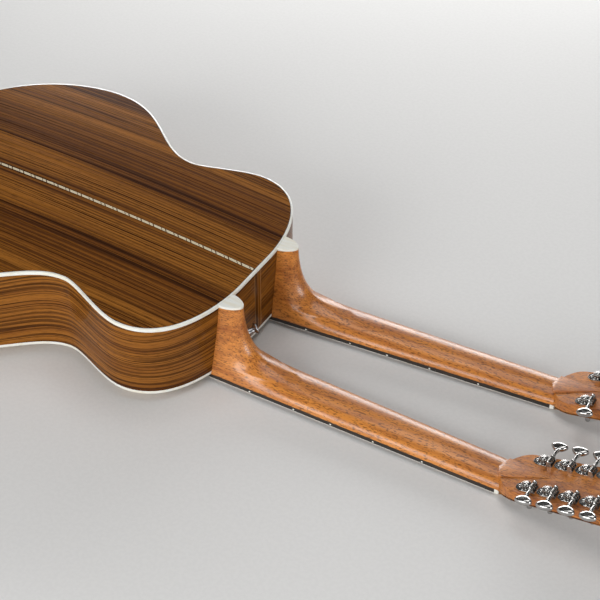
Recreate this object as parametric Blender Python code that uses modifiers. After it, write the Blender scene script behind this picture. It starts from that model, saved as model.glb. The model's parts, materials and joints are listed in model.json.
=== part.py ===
"""Double-neck acoustic guitar: a jumbo body with a twelve-string neck on the bass side and a six-string neck
on the treble side. It lies face down, resting on its strings. Metres, +Z up, +X towards the heads, -Y the bass side."""

import math

import bmesh
import bpy
from mathutils import Matrix, Vector

# Body plan, half of it: stations on the outline and the pull of the curve at each
BODY_FRONT_X = 0.0030
FRONT_FLAT_HALF = 0.0330
UPPER_BOUT_X, UPPER_BOUT_HALF = -0.0812, 0.1634
WAIST_X, WAIST_HALF = -0.1719, 0.1348
LOWER_BOUT_X, LOWER_BOUT_HALF = -0.3396, 0.2180
TAIL_X = -0.5190
PULL_FRONT = 0.0400
PULL_UPPER_FRONT, PULL_UPPER_BACK = 0.0690, 0.0280
PULL_WAIST_FRONT, PULL_WAIST_BACK = 0.0190, 0.0540
PULL_LOWER_FRONT, PULL_LOWER_BACK = 0.0820, 0.0680
PULL_TAIL = 0.1650

# Body depth: at the neck end, its growth per metre towards the tail, and the arch of the back over its reach
BODY_DEPTH = 0.0951
DEPTH_GROWTH = 0.049
BACK_ARCH_X = -0.250
BACK_ARCH_REACH = 0.250
BACK_ARCH_RISE = 0.00684

# Walls of the body
SEAT_GAP = 0.0003
BACK_THICKNESS = 0.0028
SOUNDBOARD_THICKNESS = 0.0028
SIDE_THICKNESS = 0.0023
BINDING_WIDTH = 0.0022
BACK_BINDING_HEIGHT = 0.0055
TOP_BINDING_HEIGHT = 0.0042
LINING_WIDTH = 0.0065
LINING_HEIGHT = 0.0130
LINING_LIP = 0.0045
BLOCK_HALF_WIDTH = 0.0900
BLOCK_DEPTH = 0.0400
TAIL_BLOCK_HALF_WIDTH = 0.0350
TAIL_BLOCK_DEPTH = 0.0160

# Sound hole and braces
SOUND_HOLE_X = -0.1650
SOUND_HOLE_RADIUS = 0.0510
TOP_BRACE_WIDTH, TOP_BRACE_HEIGHT = 0.0080, 0.0130
BACK_BRACE_WIDTH, BACK_BRACE_HEIGHT = 0.0090, 0.0120
BACK_BRACE_FIRST_X, BACK_BRACE_PITCH, BACK_BRACE_COUNT = -0.0850, 0.1050, 4
BRACE_END_CLEARANCE = 0.0040
X_BRACE_CENTRE_X = -0.2440
X_BRACE_HALF_ANGLE = 46.0
X_BRACE_FRONT_REACH, X_BRACE_BACK_REACH = 0.1500, 0.2000
BRIDGE_PLATE_DEPTH, BRIDGE_PLATE_HALF_WIDTH, BRIDGE_PLATE_THICKNESS = 0.0450, 0.1150, 0.0030

# Necks: scale, spacing, fan and pitch
SCALE_LENGTH = 0.6452
NUT_X = 0.3578
NECK_SPACING = 0.1247
NECK_FAN = 2.14
NECK_PITCH = 0.72
NECK_CREST_AT_NUT = 0.0132
NECK_CREST_GROWTH = 0.0065
NECK_ROUNDNESS = 2.16
NECK_RUN_IN = 0.0100
BOARD_THICKNESS = 0.0065
BOARD_PAST_LAST_FRET = 0.0070
FRET_COUNT = 20
FRET_WIDTH, FRET_HEIGHT, FRET_INSET = 0.0021, 0.0010, 0.0006
NUT_LENGTH = 0.0052
TRUSS_ROD_WIDTH, TRUSS_ROD_DEPTH = 0.0060, 0.0075
TRUSS_ROD_START, TRUSS_ROD_END = 0.0120, 0.0120

# Heel
HEEL_REACH = 0.0248
HEEL_HALF_WIDTH = 0.0132
HEEL_FLARE = 1.25
HEEL_SWEEP_LENGTH, HEEL_SWEEP_POWER, HEEL_SWEEP_END = 0.0092, 0.65, 0.02
HEEL_CAP_THICKNESS = 0.0032

# Head
HEAD_TILT = 12.7
HEAD_BACK_AT_NUT = 0.0133
HEAD_WOOD_THICKNESS = 0.0132
HEADPLATE_THICKNESS = 0.0020
HEAD_HALF_WIDTH = 0.0310
HEAD_FLARE = 0.050
HEAD_SHOULDER = 0.0270
HEAD_SHOULDER_BACK_HALF = 0.0120
HEADPLATE_START = 0.0030
HEAD_BEYOND_TUNER = 0.0200
HEAD_CORNER = 0.0050
HEAD_SHOULDER_POWER = 2.3
DART_LENGTH, DART_BACK_LENGTH = 0.0560, 0.0060
DART_HALF_WIDTH, DART_HEIGHT = 0.0150, 0.0026
DART_WALL, DART_CROWN = 0.0012, 0.0006
DART_ROOT, DART_ROOT_SETBACK = 0.0080, 0.0040
DART_SINK = 0.0003

# Tuning machines, measured from each string post
POST_LATERAL = 0.0224
POST_RADIUS = 0.0030
POST_REACH = 0.0115
POST_TIP_CHAMFER = 0.0010
POST_BORE_CLEARANCE = 0.0001
WINDING_RADIUS, WINDING_LENGTH = 0.0039, 0.0050
GEAR_TEETH = 14
GEAR_TIP_RADIUS, GEAR_ROOT_RADIUS = 0.0055, 0.0039
GEAR_THICKNESS = 0.0030
GEAR_HEIGHT = 0.0045
GEAR_TIP_HALF = 0.00024
GEAR_CAP_SHOULDER, GEAR_CAP_HEIGHT = 0.0006, 0.0016
WORM_TIP_RADIUS, WORM_ROOT_RADIUS = 0.00305, 0.0013
WORM_HALF_LENGTH = 0.0036
TOOTH_DEPTH = 0.0010
PLATE_THICKNESS = 0.0010
PLATE_HALF_WIDTH = 0.0066
PLATE_TIP, PLATE_SHOULDER, PLATE_END = -0.0120, -0.0060, 0.0110
PLATE_SINK = 0.0003
EAR_THICKNESS, EAR_HALF_LENGTH, EAR_HEIGHT = 0.0017, 0.0026, 0.0077
SHAFT_CLEARANCE = 0.0001
KNOB_START = 0.0178
KNOB_HALF_LENGTH, KNOB_DEPTH, KNOB_THICKNESS = 0.0098, 0.0110, 0.0070

# Bridge, saddles and strings
BRIDGE_HEIGHT = 0.0100
BRIDGE_WING_HEIGHT = 0.0035
BRIDGE_FRONT, BRIDGE_BACK = 0.0100, 0.0220
BRIDGE_HALF_WIDTH, BRIDGE_WING = 0.0920, 0.0300
BRIDGE_EDGE = 0.0015
SADDLE_THICKNESS = 0.0030
SADDLE_HALF_LENGTH = 0.0350
SADDLE_SLOT_DEPTH = 0.0040
SADDLE_STRING_HEIGHT = 0.0150
PIN_OFFSET = 0.0130
STRING_HEIGHT_AT_NUT = 0.0081
STRING_POST_DROP = 0.0035

# Strap button, on the flank of the twelve-string heel that faces the other neck, and end pin
BUTTON_RADIUS, BUTTON_FOOT_RADIUS, BUTTON_LENGTH = 0.0070, 0.0042, 0.0110
BUTTON_REACH, BUTTON_HEIGHT = 0.0218, 0.0447
END_PIN_HEIGHT = 0.0600

# Each neck: side of the body, width at the nut and its growth to the twelfth fret, tuners a side and their pitch
NECKS = {
    "twelve": {
        "side": -1,
        "nut_width": 0.0444,
        "width_growth": 0.0111,
        "tuners": 6,
        "first_tuner": 0.0369,
        "tuner_pitch": 0.02387,
        "course_spread_nut": 0.0350,
        "course_spread_saddle": 0.0530,
        "pair_half_gap": 0.0012,
        "radii": (0.00060, 0.00048, 0.00038, 0.00030, 0.00020, 0.00015),
        "octave_radii": (0.00032, 0.00025, 0.00018, 0.00015, 0.00020, 0.00015),
    },
    "six": {
        "side": 1,
        "nut_width": 0.0429,
        "width_growth": 0.0122,
        "tuners": 3,
        "first_tuner": 0.0412,
        "tuner_pitch": 0.0400,
        "course_spread_nut": 0.0355,
        "course_spread_saddle": 0.0540,
        "pair_half_gap": 0.0,
        "radii": (0.00067, 0.00053, 0.00040, 0.00030, 0.00020, 0.00015),
        "octave_radii": (),
    },
}

# Facets
OUTLINE_STEPS = (7, 4, 6, 9)
NECK_ANGLES = (0, 20, 38, 52, 58, 64, 71, 80, 90)
NECK_LOW_ANGLE = 52
ROUND_FACETS = 6
WORM_FACETS = 8

# Colours with roughness and metallic value
FINISHES = {
    "rosewood": ((0.16, 0.065, 0.030, 1), 0.25, 0.0),
    "spruce": ((0.72, 0.50, 0.26, 1), 0.35, 0.0),
    "mahogany": ((0.42, 0.17, 0.065, 1), 0.35, 0.0),
    "ebony": ((0.020, 0.017, 0.015, 1), 0.45, 0.0),
    "ivory": ((0.83, 0.80, 0.68, 1), 0.35, 0.0),
    "nickel": ((0.72, 0.71, 0.69, 1), 0.20, 1.0),
    "string_metal": ((0.62, 0.55, 0.42, 1), 0.30, 1.0),
    "steel": ((0.30, 0.30, 0.31, 1), 0.30, 1.0),
}

for old in list(bpy.data.objects):
    bpy.data.objects.remove(old, do_unlink=True)

guitar = bpy.data.collections.new("double_neck_guitar")
cutters = bpy.data.collections.new("cutters")
bpy.context.scene.collection.children.link(guitar)
bpy.context.scene.collection.children.link(cutters)


def finish(name):
    """The named finish as a material, made once."""
    if name in bpy.data.materials:
        return bpy.data.materials[name]
    colour, roughness, metallic = FINISHES[name]
    material = bpy.data.materials.new(name)
    material.use_nodes = True
    shader = material.node_tree.nodes["Principled BSDF"]
    shader.inputs["Base Color"].default_value = colour
    shader.inputs["Roughness"].default_value = roughness
    shader.inputs["Metallic"].default_value = metallic
    material.diffuse_color = colour
    return material


def empty(name, parent, matrix):
    holder = bpy.data.objects.new(name, None)
    guitar.objects.link(holder)
    holder.parent = parent
    holder.matrix_local = matrix
    return holder


def place(mesh, name, parent, matrix=None, material=None, helper=False):
    """An object on this mesh under its parent; a helper only cuts or joins."""
    obj = bpy.data.objects.new(name, mesh)
    (cutters if helper else guitar).objects.link(obj)
    obj.parent = parent
    obj.matrix_local = matrix or Matrix()
    if helper:
        obj.hide_render = True
        obj.display_type = "WIRE"
    if material and not mesh.materials:
        mesh.materials.append(finish(material))
    return obj


def tidy_mesh(name, build):
    """A mesh from a bmesh with its doubles merged and its faces turned outwards."""
    bmesh.ops.remove_doubles(build, verts=build.verts, dist=1e-7)
    bmesh.ops.dissolve_degenerate(build, edges=build.edges, dist=1e-7)
    bmesh.ops.recalc_face_normals(build, faces=build.faces)
    mesh = bpy.data.meshes.new(name)
    build.to_mesh(mesh)
    build.free()
    return mesh


def loft(name, rings, wrap=False):
    """A closed solid through rings of equal point counts, capped at both ends unless it wraps round."""
    build = bmesh.new()
    rows = [[build.verts.new(point) for point in ring] for ring in rings]
    count = len(rings[0])
    spans = len(rows) if wrap else len(rows) - 1
    for i in range(spans):
        near, far = rows[i], rows[(i + 1) % len(rows)]
        for j in range(count):
            k = (j + 1) % count
            build.faces.new((near[j], near[k], far[k], far[j]))
    if not wrap:
        build.faces.new(rows[0])
        build.faces.new(rows[-1])
    return tidy_mesh(name, build)


def prism(name, points, low, high):
    """A flat outline of (x, y) points carried from one height to another."""
    return loft(name, [[(x, y, z) for x, y in points] for z in (low, high)])


def box(name, low, high):
    corners = [(low[0], low[1]), (high[0], low[1]), (high[0], high[1]), (low[0], high[1])]
    return prism(name, corners, low[2], high[2])


def turned(name, profile, facets, axis="Z"):
    """A turned solid from (radius, distance along the axis) pairs, listed from one end to the other."""
    rings = []
    for radius, along in profile:
        ring = []
        for i in range(facets):
            angle = 2 * math.pi * i / facets
            a, b = radius * math.cos(angle), radius * math.sin(angle)
            ring.append({"X": (along, a, b), "Y": (b, along, a), "Z": (a, b, along)}[axis])
        rings.append(ring)
    return loft(name, rings)


def joined(name, meshes):
    """Several closed meshes held in one, for a cutter or for joining on in one go."""
    build = bmesh.new()
    for mesh in meshes:
        build.from_mesh(mesh)
    return tidy_mesh(name, build)


def moved(mesh, matrix):
    mesh.transform(matrix)
    return mesh


def combine(target, tool, operation):
    """Joins a helper to the target, or cuts it out, as a Boolean modifier."""
    modifier = target.modifiers.new(tool.name, "BOOLEAN")
    modifier.operation = operation
    modifier.object = tool
    modifier.solver = "EXACT"


def baked(obj):
    """The object's evaluated mesh as a mesh of its own, so that copies can share it."""
    bpy.context.view_layer.update()
    graph = bpy.context.evaluated_depsgraph_get()
    mesh = bpy.data.meshes.new_from_object(obj.evaluated_get(graph))
    bpy.data.objects.remove(obj, do_unlink=True)
    return mesh


# The body's outline
def bezier(a, b, c, d, steps):
    points = []
    for i in range(steps):
        t = i / steps
        s = 1 - t
        points.append(s**3 * a + 3 * s * s * t * b + 3 * s * t * t * c + t**3 * d)
    return points


def half_outline():
    """From the middle of the neck end, round the +Y side to the tail."""
    ahead, aside = Vector((1, 0)), Vector((0, 1))
    front = Vector((BODY_FRONT_X, FRONT_FLAT_HALF))
    upper = Vector((UPPER_BOUT_X, UPPER_BOUT_HALF))
    waist = Vector((WAIST_X, WAIST_HALF))
    lower = Vector((LOWER_BOUT_X, LOWER_BOUT_HALF))
    tail = Vector((TAIL_X, 0))
    a, b, c, d = OUTLINE_STEPS
    points = [Vector((BODY_FRONT_X, 0))]
    points += bezier(front, front + aside * PULL_FRONT, upper + ahead * PULL_UPPER_FRONT, upper, a)
    points += bezier(upper, upper - ahead * PULL_UPPER_BACK, waist + ahead * PULL_WAIST_FRONT, waist, b)
    points += bezier(waist, waist - ahead * PULL_WAIST_BACK, lower + ahead * PULL_LOWER_FRONT, lower, c)
    points += bezier(lower, lower - ahead * PULL_LOWER_BACK, tail + aside * PULL_TAIL, tail, d)
    return points + [tail]


def outline():
    """The whole outline, anticlockwise seen from the back, starting at the middle of the neck end."""
    half = half_outline()
    return half + [Vector((p.x, -p.y)) for p in reversed(half[1:-1])]


OUTLINE = outline()


def inset(distance):
    """The outline moved inwards by a distance, or outwards where it is negative."""
    points = []
    for i, point in enumerate(OUTLINE):
        before = (point - OUTLINE[i - 1]).normalized()
        after = (OUTLINE[(i + 1) % len(OUTLINE)] - point).normalized()
        along = (before + after).normalized()
        inward = Vector((-along.y, along.x))
        points.append(point + inward * distance / max(along.dot(before), 0.5))
    return points


def back_height(x, y):
    """Height of the back's outer face above the soundboard's outer face."""
    away = ((x - BACK_ARCH_X) ** 2 + y * y) / BACK_ARCH_REACH**2
    return BODY_DEPTH - DEPTH_GROWTH * x + BACK_ARCH_RISE * (1 - away)


def rim(name, section):
    """A ring round the body. The section lists (inset, height) for the height of the back there."""
    rings = []
    columns = {}
    for i, point in enumerate(OUTLINE):
        ring = []
        for depth, height in section(back_height(point.x, point.y)):
            if depth not in columns:
                columns[depth] = inset(depth)
            place_at = columns[depth][i]
            ring.append((place_at.x, place_at.y, height))
        rings.append(ring)
    return loft(name, rings, wrap=True)


# The whole guitar leans so that its strings lie level: nut and saddle touch the surface together
slope_pitch = math.tan(math.radians(NECK_PITCH))
nut_string_drop = STRING_HEIGHT_AT_NUT - slope_pitch * NUT_X
lean = math.atan2(SADDLE_STRING_HEIGHT - nut_string_drop, SCALE_LENGTH)
LOWEST_STRING_RADIUS = max(NECKS["six"]["radii"])
guitar_frame = empty("guitar_frame", None, Matrix.Rotation(lean, 4, "Y"))


def neck_matrix(spec):
    """The neck's own frame: x along the neck from the body joint, z = 0 where board and neck are glued."""
    side = spec["side"]
    return (
        Matrix.Translation((0, side * NECK_SPACING / 2, 0))
        @ Matrix.Rotation(math.radians(side * NECK_FAN), 4, "Z")
        @ Matrix.Rotation(math.radians(-NECK_PITCH), 4, "Y")
    )


def head_matrix():
    """The head's frame within the neck's: x along the head from the nut, z = 0 on the head's back face."""
    return Matrix.Translation((NUT_X, 0, HEAD_BACK_AT_NUT)) @ Matrix.Rotation(
        math.radians(-HEAD_TILT), 4, "Y"
    )


def width_at(spec, x):
    """Width of the fingerboard and neck at x."""
    return spec["nut_width"] + spec["width_growth"] * 2 * (NUT_X - x) / SCALE_LENGTH


# Body shell
def build_back():
    rim_line = inset(BINDING_WIDTH + SEAT_GAP)
    centre = Vector((BACK_ARCH_X, 0))
    build = bmesh.new()
    rows = []
    for share in (1.0, 0.72, 0.40):
        row = []
        for point in rim_line:
            p = centre + (point - centre) * share
            row.append(build.verts.new((p.x, p.y, back_height(p.x, p.y))))
        rows.append(row)
    middle = build.verts.new((centre.x, centre.y, back_height(centre.x, centre.y)))
    count = len(rim_line)
    for j in range(count):
        k = (j + 1) % count
        for outer, inner in zip(rows, rows[1:]):
            build.faces.new((outer[j], outer[k], inner[k], inner[j]))
        build.faces.new((rows[-1][j], rows[-1][k], middle))
    mesh = bpy.data.meshes.new("back_plate")
    build.to_mesh(mesh)
    build.free()
    back = place(mesh, "back_plate", guitar_frame, material="rosewood")
    shell = back.modifiers.new("wall", "SOLIDIFY")
    shell.thickness = BACK_THICKNESS
    shell.offset = -1
    for number in range(BACK_BRACE_COUNT):
        x = BACK_BRACE_FIRST_X - BACK_BRACE_PITCH * number
        brace = place(back_brace(x), f"back_brace_{number + 1}", guitar_frame, helper=True)
        combine(back, brace, "UNION")


def half_width_inside(x):
    """Half of the body's inner width at x, clear of the linings."""
    clear = inset(SIDE_THICKNESS + LINING_WIDTH)
    half = clear[: len(clear) // 2 + 1]
    for a, b in zip(half, half[1:]):
        if b.x <= x <= a.x:
            return a.y + (b.y - a.y) * (a.x - x) / max(a.x - b.x, 1e-9)
    return 0.0


def back_brace(x):
    """A ladder brace under the back, its glued face following the arch and its ends cut down."""
    reach = half_width_inside(x) - BRACE_END_CLEARANCE
    rings = []
    for share in (-1.0, -0.7, 0.0, 0.7, 1.0):
        y = reach * share
        top = back_height(x, y) - BACK_THICKNESS * 0.6
        foot = top - (BACK_BRACE_HEIGHT if abs(share) < 1 else BACK_BRACE_HEIGHT * 0.35)
        half = BACK_BRACE_WIDTH / 2
        rings.append([(x - half, y, foot), (x + half, y, foot), (x + half, y, top), (x - half, y, top)])
    return loft("back_brace", rings)


def build_soundboard():
    board = place(
        prism("soundboard", inset(BINDING_WIDTH + SEAT_GAP), 0.0, SOUNDBOARD_THICKNESS),
        "soundboard",
        guitar_frame,
        material="spruce",
    )
    glued = SOUNDBOARD_THICKNESS * 0.6
    top = SOUNDBOARD_THICKNESS + TOP_BRACE_HEIGHT
    half = TOP_BRACE_WIDTH / 2
    for side in (-1, 1):
        brace = box("x_brace", (-X_BRACE_BACK_REACH, -half, glued), (X_BRACE_FRONT_REACH, half, top))
        turn = Matrix.Rotation(math.radians(side * X_BRACE_HALF_ANGLE), 4, "Z")
        moved(brace, Matrix.Translation((X_BRACE_CENTRE_X, 0, 0)) @ turn)
        combine(board, place(brace, f"x_brace_{side + 2}", guitar_frame, helper=True), "UNION")
    plate_x = NUT_X - SCALE_LENGTH - PIN_OFFSET / 2
    plate = box(
        "bridge_plate",
        (plate_x - BRIDGE_PLATE_DEPTH / 2, -BRIDGE_PLATE_HALF_WIDTH, glued),
        (plate_x + BRIDGE_PLATE_DEPTH / 2, BRIDGE_PLATE_HALF_WIDTH, SOUNDBOARD_THICKNESS + BRIDGE_PLATE_THICKNESS),
    )
    combine(board, place(plate, "bridge_plate", guitar_frame, helper=True), "UNION")
    through = 2 * SOUNDBOARD_THICKNESS
    cutter = turned("sound_hole", [(SOUND_HOLE_RADIUS, -through), (SOUND_HOLE_RADIUS, through)], 28)
    hole = place(cutter, "sound_hole", guitar_frame, Matrix.Translation((SOUND_HOLE_X, 0, 0)), helper=True)
    combine(board, hole, "DIFFERENCE")


def side_section(back):
    """The side wall with a lining glued along each edge, between the two bindings."""
    seat = BINDING_WIDTH + SEAT_GAP
    inner = SIDE_THICKNESS + LINING_WIDTH
    low_edge = TOP_BINDING_HEIGHT + SEAT_GAP
    high_edge = back - BACK_BINDING_HEIGHT - SEAT_GAP
    low_seat = SOUNDBOARD_THICKNESS + SEAT_GAP
    high_seat = back - BACK_THICKNESS - SEAT_GAP
    return (
        (0.0, low_edge),
        (seat, low_edge),
        (seat, low_seat),
        (inner, low_seat),
        (inner, low_seat + LINING_LIP),
        (SIDE_THICKNESS, low_seat + LINING_HEIGHT),
        (SIDE_THICKNESS, high_seat - LINING_HEIGHT),
        (inner, high_seat - LINING_LIP),
        (inner, high_seat),
        (seat, high_seat),
        (seat, high_edge),
        (0.0, high_edge),
    )


def strip_section(low, high):
    return ((0.0, low), (BINDING_WIDTH, low), (BINDING_WIDTH, high), (0.0, high))


def build_rims():
    place(rim("sides", side_section), "sides", guitar_frame, material="rosewood")
    place(
        rim("back_binding", lambda back: strip_section(back - BACK_BINDING_HEIGHT, back)),
        "back_binding",
        guitar_frame,
        material="ivory",
    )
    place(
        rim("top_binding", lambda back: strip_section(0.0, TOP_BINDING_HEIGHT)),
        "top_binding",
        guitar_frame,
        material="ivory",
    )


def build_block(name, ahead, half_width, depth):
    """A block glued inside the sides at one end of the body, between the two plates."""
    line = inset(SIDE_THICKNESS + LINING_WIDTH + SEAT_GAP)[: len(OUTLINE) // 2 + 1]
    line = [p for p in (line if ahead > 0 else reversed(line)) if (p.x - BACK_ARCH_X) * ahead > 0]
    edge = [(line[0].x, 0.0)]
    for a, b in zip(line, line[1:]):
        if b.y < half_width:
            edge.append((b.x, b.y))
        elif a.y < half_width:
            edge.append((a.x + (b.x - a.x) * (half_width - a.y) / (b.y - a.y), half_width))
    inner_x = line[0].x - ahead * depth
    points = [(x, -y) for x, y in reversed(edge[1:])] + edge + [(inner_x, half_width), (inner_x, -half_width)]
    high = min(back_height(x, y) for x, y in points) - BACK_THICKNESS - 2 * SEAT_GAP
    mesh = prism(name, points, SOUNDBOARD_THICKNESS + SEAT_GAP, high)
    place(mesh, name, guitar_frame, material="mahogany")


# Necks
def shaft_crest(x):
    return NECK_CREST_AT_NUT + NECK_CREST_GROWTH * (NUT_X - x)


HEEL_TOP = back_height(BODY_FRONT_X, NECK_SPACING / 2)
HEEL_WOOD_TOP = HEEL_TOP - HEEL_CAP_THICKNESS - SEAT_GAP


def crest(x):
    """Height of the neck's middle line: the heel's flat top, its sweep, then the shaft."""
    if x <= HEEL_REACH:
        return HEEL_WOOD_TOP
    fall = math.exp(-(((x - HEEL_REACH) / HEEL_SWEEP_LENGTH) ** HEEL_SWEEP_POWER))
    fall = max(fall - HEEL_SWEEP_END, 0.0) / (1 - HEEL_SWEEP_END)
    return shaft_crest(x) + (HEEL_WOOD_TOP - shaft_crest(x)) * fall


def shaft_half(spec, x, z):
    """Half-width of the plain round-backed neck at a height."""
    share = min(z / shaft_crest(x), 1.0)
    return width_at(spec, x) / 2 * math.sqrt(max(1 - share**NECK_ROUNDNESS, 0.0))


def heel_reach_at(z):
    """How far the heel's middle line stands out from the body at a height."""
    base = shaft_crest(HEEL_REACH)
    share = max(z - base, 0.0) / (HEEL_WOOD_TOP - base)
    if share >= 1:
        return HEEL_REACH
    fall = share * (1 - HEEL_SWEEP_END) + HEEL_SWEEP_END
    return HEEL_REACH + HEEL_SWEEP_LENGTH * (-math.log(fall)) ** (1 / HEEL_SWEEP_POWER)


def heel_plan(share):
    """Half-width of the heel's tongue at a share of its reach, against its half-width at the body."""
    return (1 - min(max(share, 0.0), 1.0) ** 1.8) ** (1 / 1.7)


def neck_half(spec, x, z):
    """Half-width of the neck at x and a height: the round back and the heel's tongue, blended."""
    shaft = shaft_half(spec, x, z)
    foot = width_at(spec, 0.0) / 2
    side = HEEL_HALF_WIDTH + (foot - HEEL_HALF_WIDTH) * (1 - min(z / HEEL_WOOD_TOP, 1.0)) ** HEEL_FLARE
    tongue = max(side**3 - shaft_half(spec, 0.0, z) ** 3, 0.0) ** (1 / 3)
    blend = (shaft**3 + (tongue * heel_plan(x / heel_reach_at(z))) ** 3) ** (1 / 3)
    return min(blend, width_at(spec, x) / 2)


def neck_ring(spec, x):
    low = math.sin(math.radians(NECK_LOW_ANGLE)) ** (2 / NECK_ROUNDNESS)
    base, top = shaft_crest(x), crest(x)
    right = []
    for angle in NECK_ANGLES:
        share = math.sin(math.radians(angle)) ** (2 / NECK_ROUNDNESS)
        z = base * share
        if angle > NECK_LOW_ANGLE:
            z = base * low + (top - base * low) * (share - low) / (1 - low)
        right.append((neck_half(spec, x, z), max(z, SEAT_GAP / 2)))
    ring = [(x, half, z) for half, z in right]
    ring.append((x, 0.0, top))
    ring += [(x, -half, z) for half, z in reversed(right)]
    return ring


def neck_stations():
    """Where the neck's sections lie: close together round the heel, and further apart along the shaft."""
    heel = [HEEL_REACH * share for share in (0.25, 0.5, 0.72, 0.88, 0.97)]
    sweep = [HEEL_REACH + HEEL_SWEEP_LENGTH * share for share in (0.05, 0.22, 0.54, 1.1, 2.0, 3.3, 5.2, 8.1)]
    start, end = sweep[-1], NUT_X - DART_BACK_LENGTH
    shaft = [start + (end - start) * share for share in (0.25, 0.6, 1.0)]
    return [-NECK_RUN_IN, *heel, *sweep, *shaft, NUT_X + NUT_LENGTH]


def head_half(spec, along, back=False):
    """Half-width of the head at a distance from the nut, on its front face or on its back face."""
    nut_half = spec["nut_width"] / 2
    if along >= HEAD_SHOULDER:
        return HEAD_HALF_WIDTH + HEAD_FLARE * (along - HEAD_SHOULDER)
    share = max(along, 0.0) / HEAD_SHOULDER
    if back:
        swell = 1 - (1 - share) ** HEAD_SHOULDER_POWER
        return HEAD_SHOULDER_BACK_HALF + (HEAD_HALF_WIDTH - HEAD_SHOULDER_BACK_HALF) * swell
    return nut_half + (HEAD_HALF_WIDTH - nut_half) * math.sin(math.pi / 2 * share)


def head_length(spec):
    return spec["first_tuner"] + (spec["tuners"] - 1) * spec["tuner_pitch"] + HEAD_BEYOND_TUNER


def head_mesh(spec):
    length = head_length(spec)
    stations = [-0.001] + [HEAD_SHOULDER * share for share in (0.07, 0.18, 0.36, 0.65, 1.0)]
    rings = []
    for along in stations + [length - HEAD_CORNER, length]:
        cut = HEAD_CORNER if along == length else 0.0
        front = head_half(spec, along) - cut
        back = head_half(spec, along, back=True) - cut
        low = -HEAD_WOOD_THICKNESS
        rings.append([(along, -front, low), (along, front, low), (along, back, 0.0), (along, -back, 0.0)])
    return loft("head", rings)


def dart_mesh(spec):
    """The dart behind the nut: nearly flat on top, with crisp walls, it runs out to a point on the head."""
    head = head_matrix()
    edge = HEAD_BACK_AT_NUT - DART_SINK
    rim_half = DART_HALF_WIDTH - DART_WALL
    points = [Vector((NUT_X - DART_BACK_LENGTH, 0, shaft_crest(NUT_X) - DART_SINK))]
    points.append(Vector((NUT_X, 0, edge + DART_HEIGHT + DART_CROWN)))
    for side in (-1, 1):
        points.append(Vector((NUT_X, side * rim_half, edge + DART_HEIGHT)))
        points.append(Vector((NUT_X, side * DART_HALF_WIDTH, edge)))
    points.append(head @ Vector((DART_LENGTH, 0, 0.0)))
    points.append(head @ Vector((DART_LENGTH - DART_ROOT_SETBACK, 0, -DART_SINK)))
    points.append(Vector((NUT_X, 0, edge - DART_ROOT)))
    build = bmesh.new()
    for point in points:
        build.verts.new(point)
    bmesh.ops.convex_hull(build, input=build.verts)
    return tidy_mesh("dart", build)


def tuner_places(spec):
    """Each string post on the head: (name part, distance from the nut, side of the head)."""
    places = []
    for row, side in (("bass", -1), ("treble", 1)):
        for i in range(spec["tuners"]):
            places.append((f"{row}_{i + 1}", spec["first_tuner"] + i * spec["tuner_pitch"], side))
    return places


def plate_meshes(along, side):
    """A tuner's base plate, pointed at its screwed end, with an ear at each end of the worm."""
    lateral = side * POST_LATERAL
    outline_points = [
        (along + PLATE_TIP, lateral),
        (along + PLATE_SHOULDER, lateral - PLATE_HALF_WIDTH),
        (along + PLATE_END, lateral - PLATE_HALF_WIDTH),
        (along + PLATE_END, lateral + PLATE_HALF_WIDTH),
        (along + PLATE_SHOULDER, lateral + PLATE_HALF_WIDTH),
    ]
    worm = along + worm_offset()
    meshes = [prism("tuner_plate", outline_points, -PLATE_SINK, PLATE_THICKNESS)]
    for end in (-1, 1):
        a = lateral + end * PLATE_HALF_WIDTH
        b = lateral + end * (PLATE_HALF_WIDTH - EAR_THICKNESS)
        low = (worm - EAR_HALF_LENGTH, min(a, b), PLATE_THICKNESS / 2)
        high = (worm + EAR_HALF_LENGTH, max(a, b), EAR_HEIGHT)
        meshes.append(box("ear", low, high))
    return meshes


def worm_offset():
    """Distance between the axes of post and worm, along the head."""
    return GEAR_TIP_RADIUS + WORM_TIP_RADIUS - TOOTH_DEPTH


def post_cutter(along, side):
    """The bore of one string post through plate, head and headplate."""
    radius = (POST_RADIUS + POST_BORE_CLEARANCE) / math.cos(math.pi / ROUND_FACETS)
    low = -HEAD_WOOD_THICKNESS - 2 * HEADPLATE_THICKNESS
    bore = turned("post_bore", [(radius, low), (radius, 2 * PLATE_THICKNESS)], ROUND_FACETS)
    return moved(bore, Matrix.Translation((along, side * POST_LATERAL, 0)))


def shaft_cutter(along, side):
    """The bore of one worm shaft through the plate's outer ear."""
    radius = (WORM_ROOT_RADIUS + SHAFT_CLEARANCE) / math.cos(math.pi / ROUND_FACETS)
    start = PLATE_HALF_WIDTH - EAR_THICKNESS - SEAT_GAP
    bore = turned("shaft_bore", [(radius, start), (radius, PLATE_HALF_WIDTH + SEAT_GAP)], ROUND_FACETS, "Y")
    turn = Matrix.Rotation(0.0 if side > 0 else math.pi, 4, "Z")
    centre = Matrix.Translation((along + worm_offset(), side * POST_LATERAL, GEAR_HEIGHT))
    return moved(bore, centre @ turn)


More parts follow.
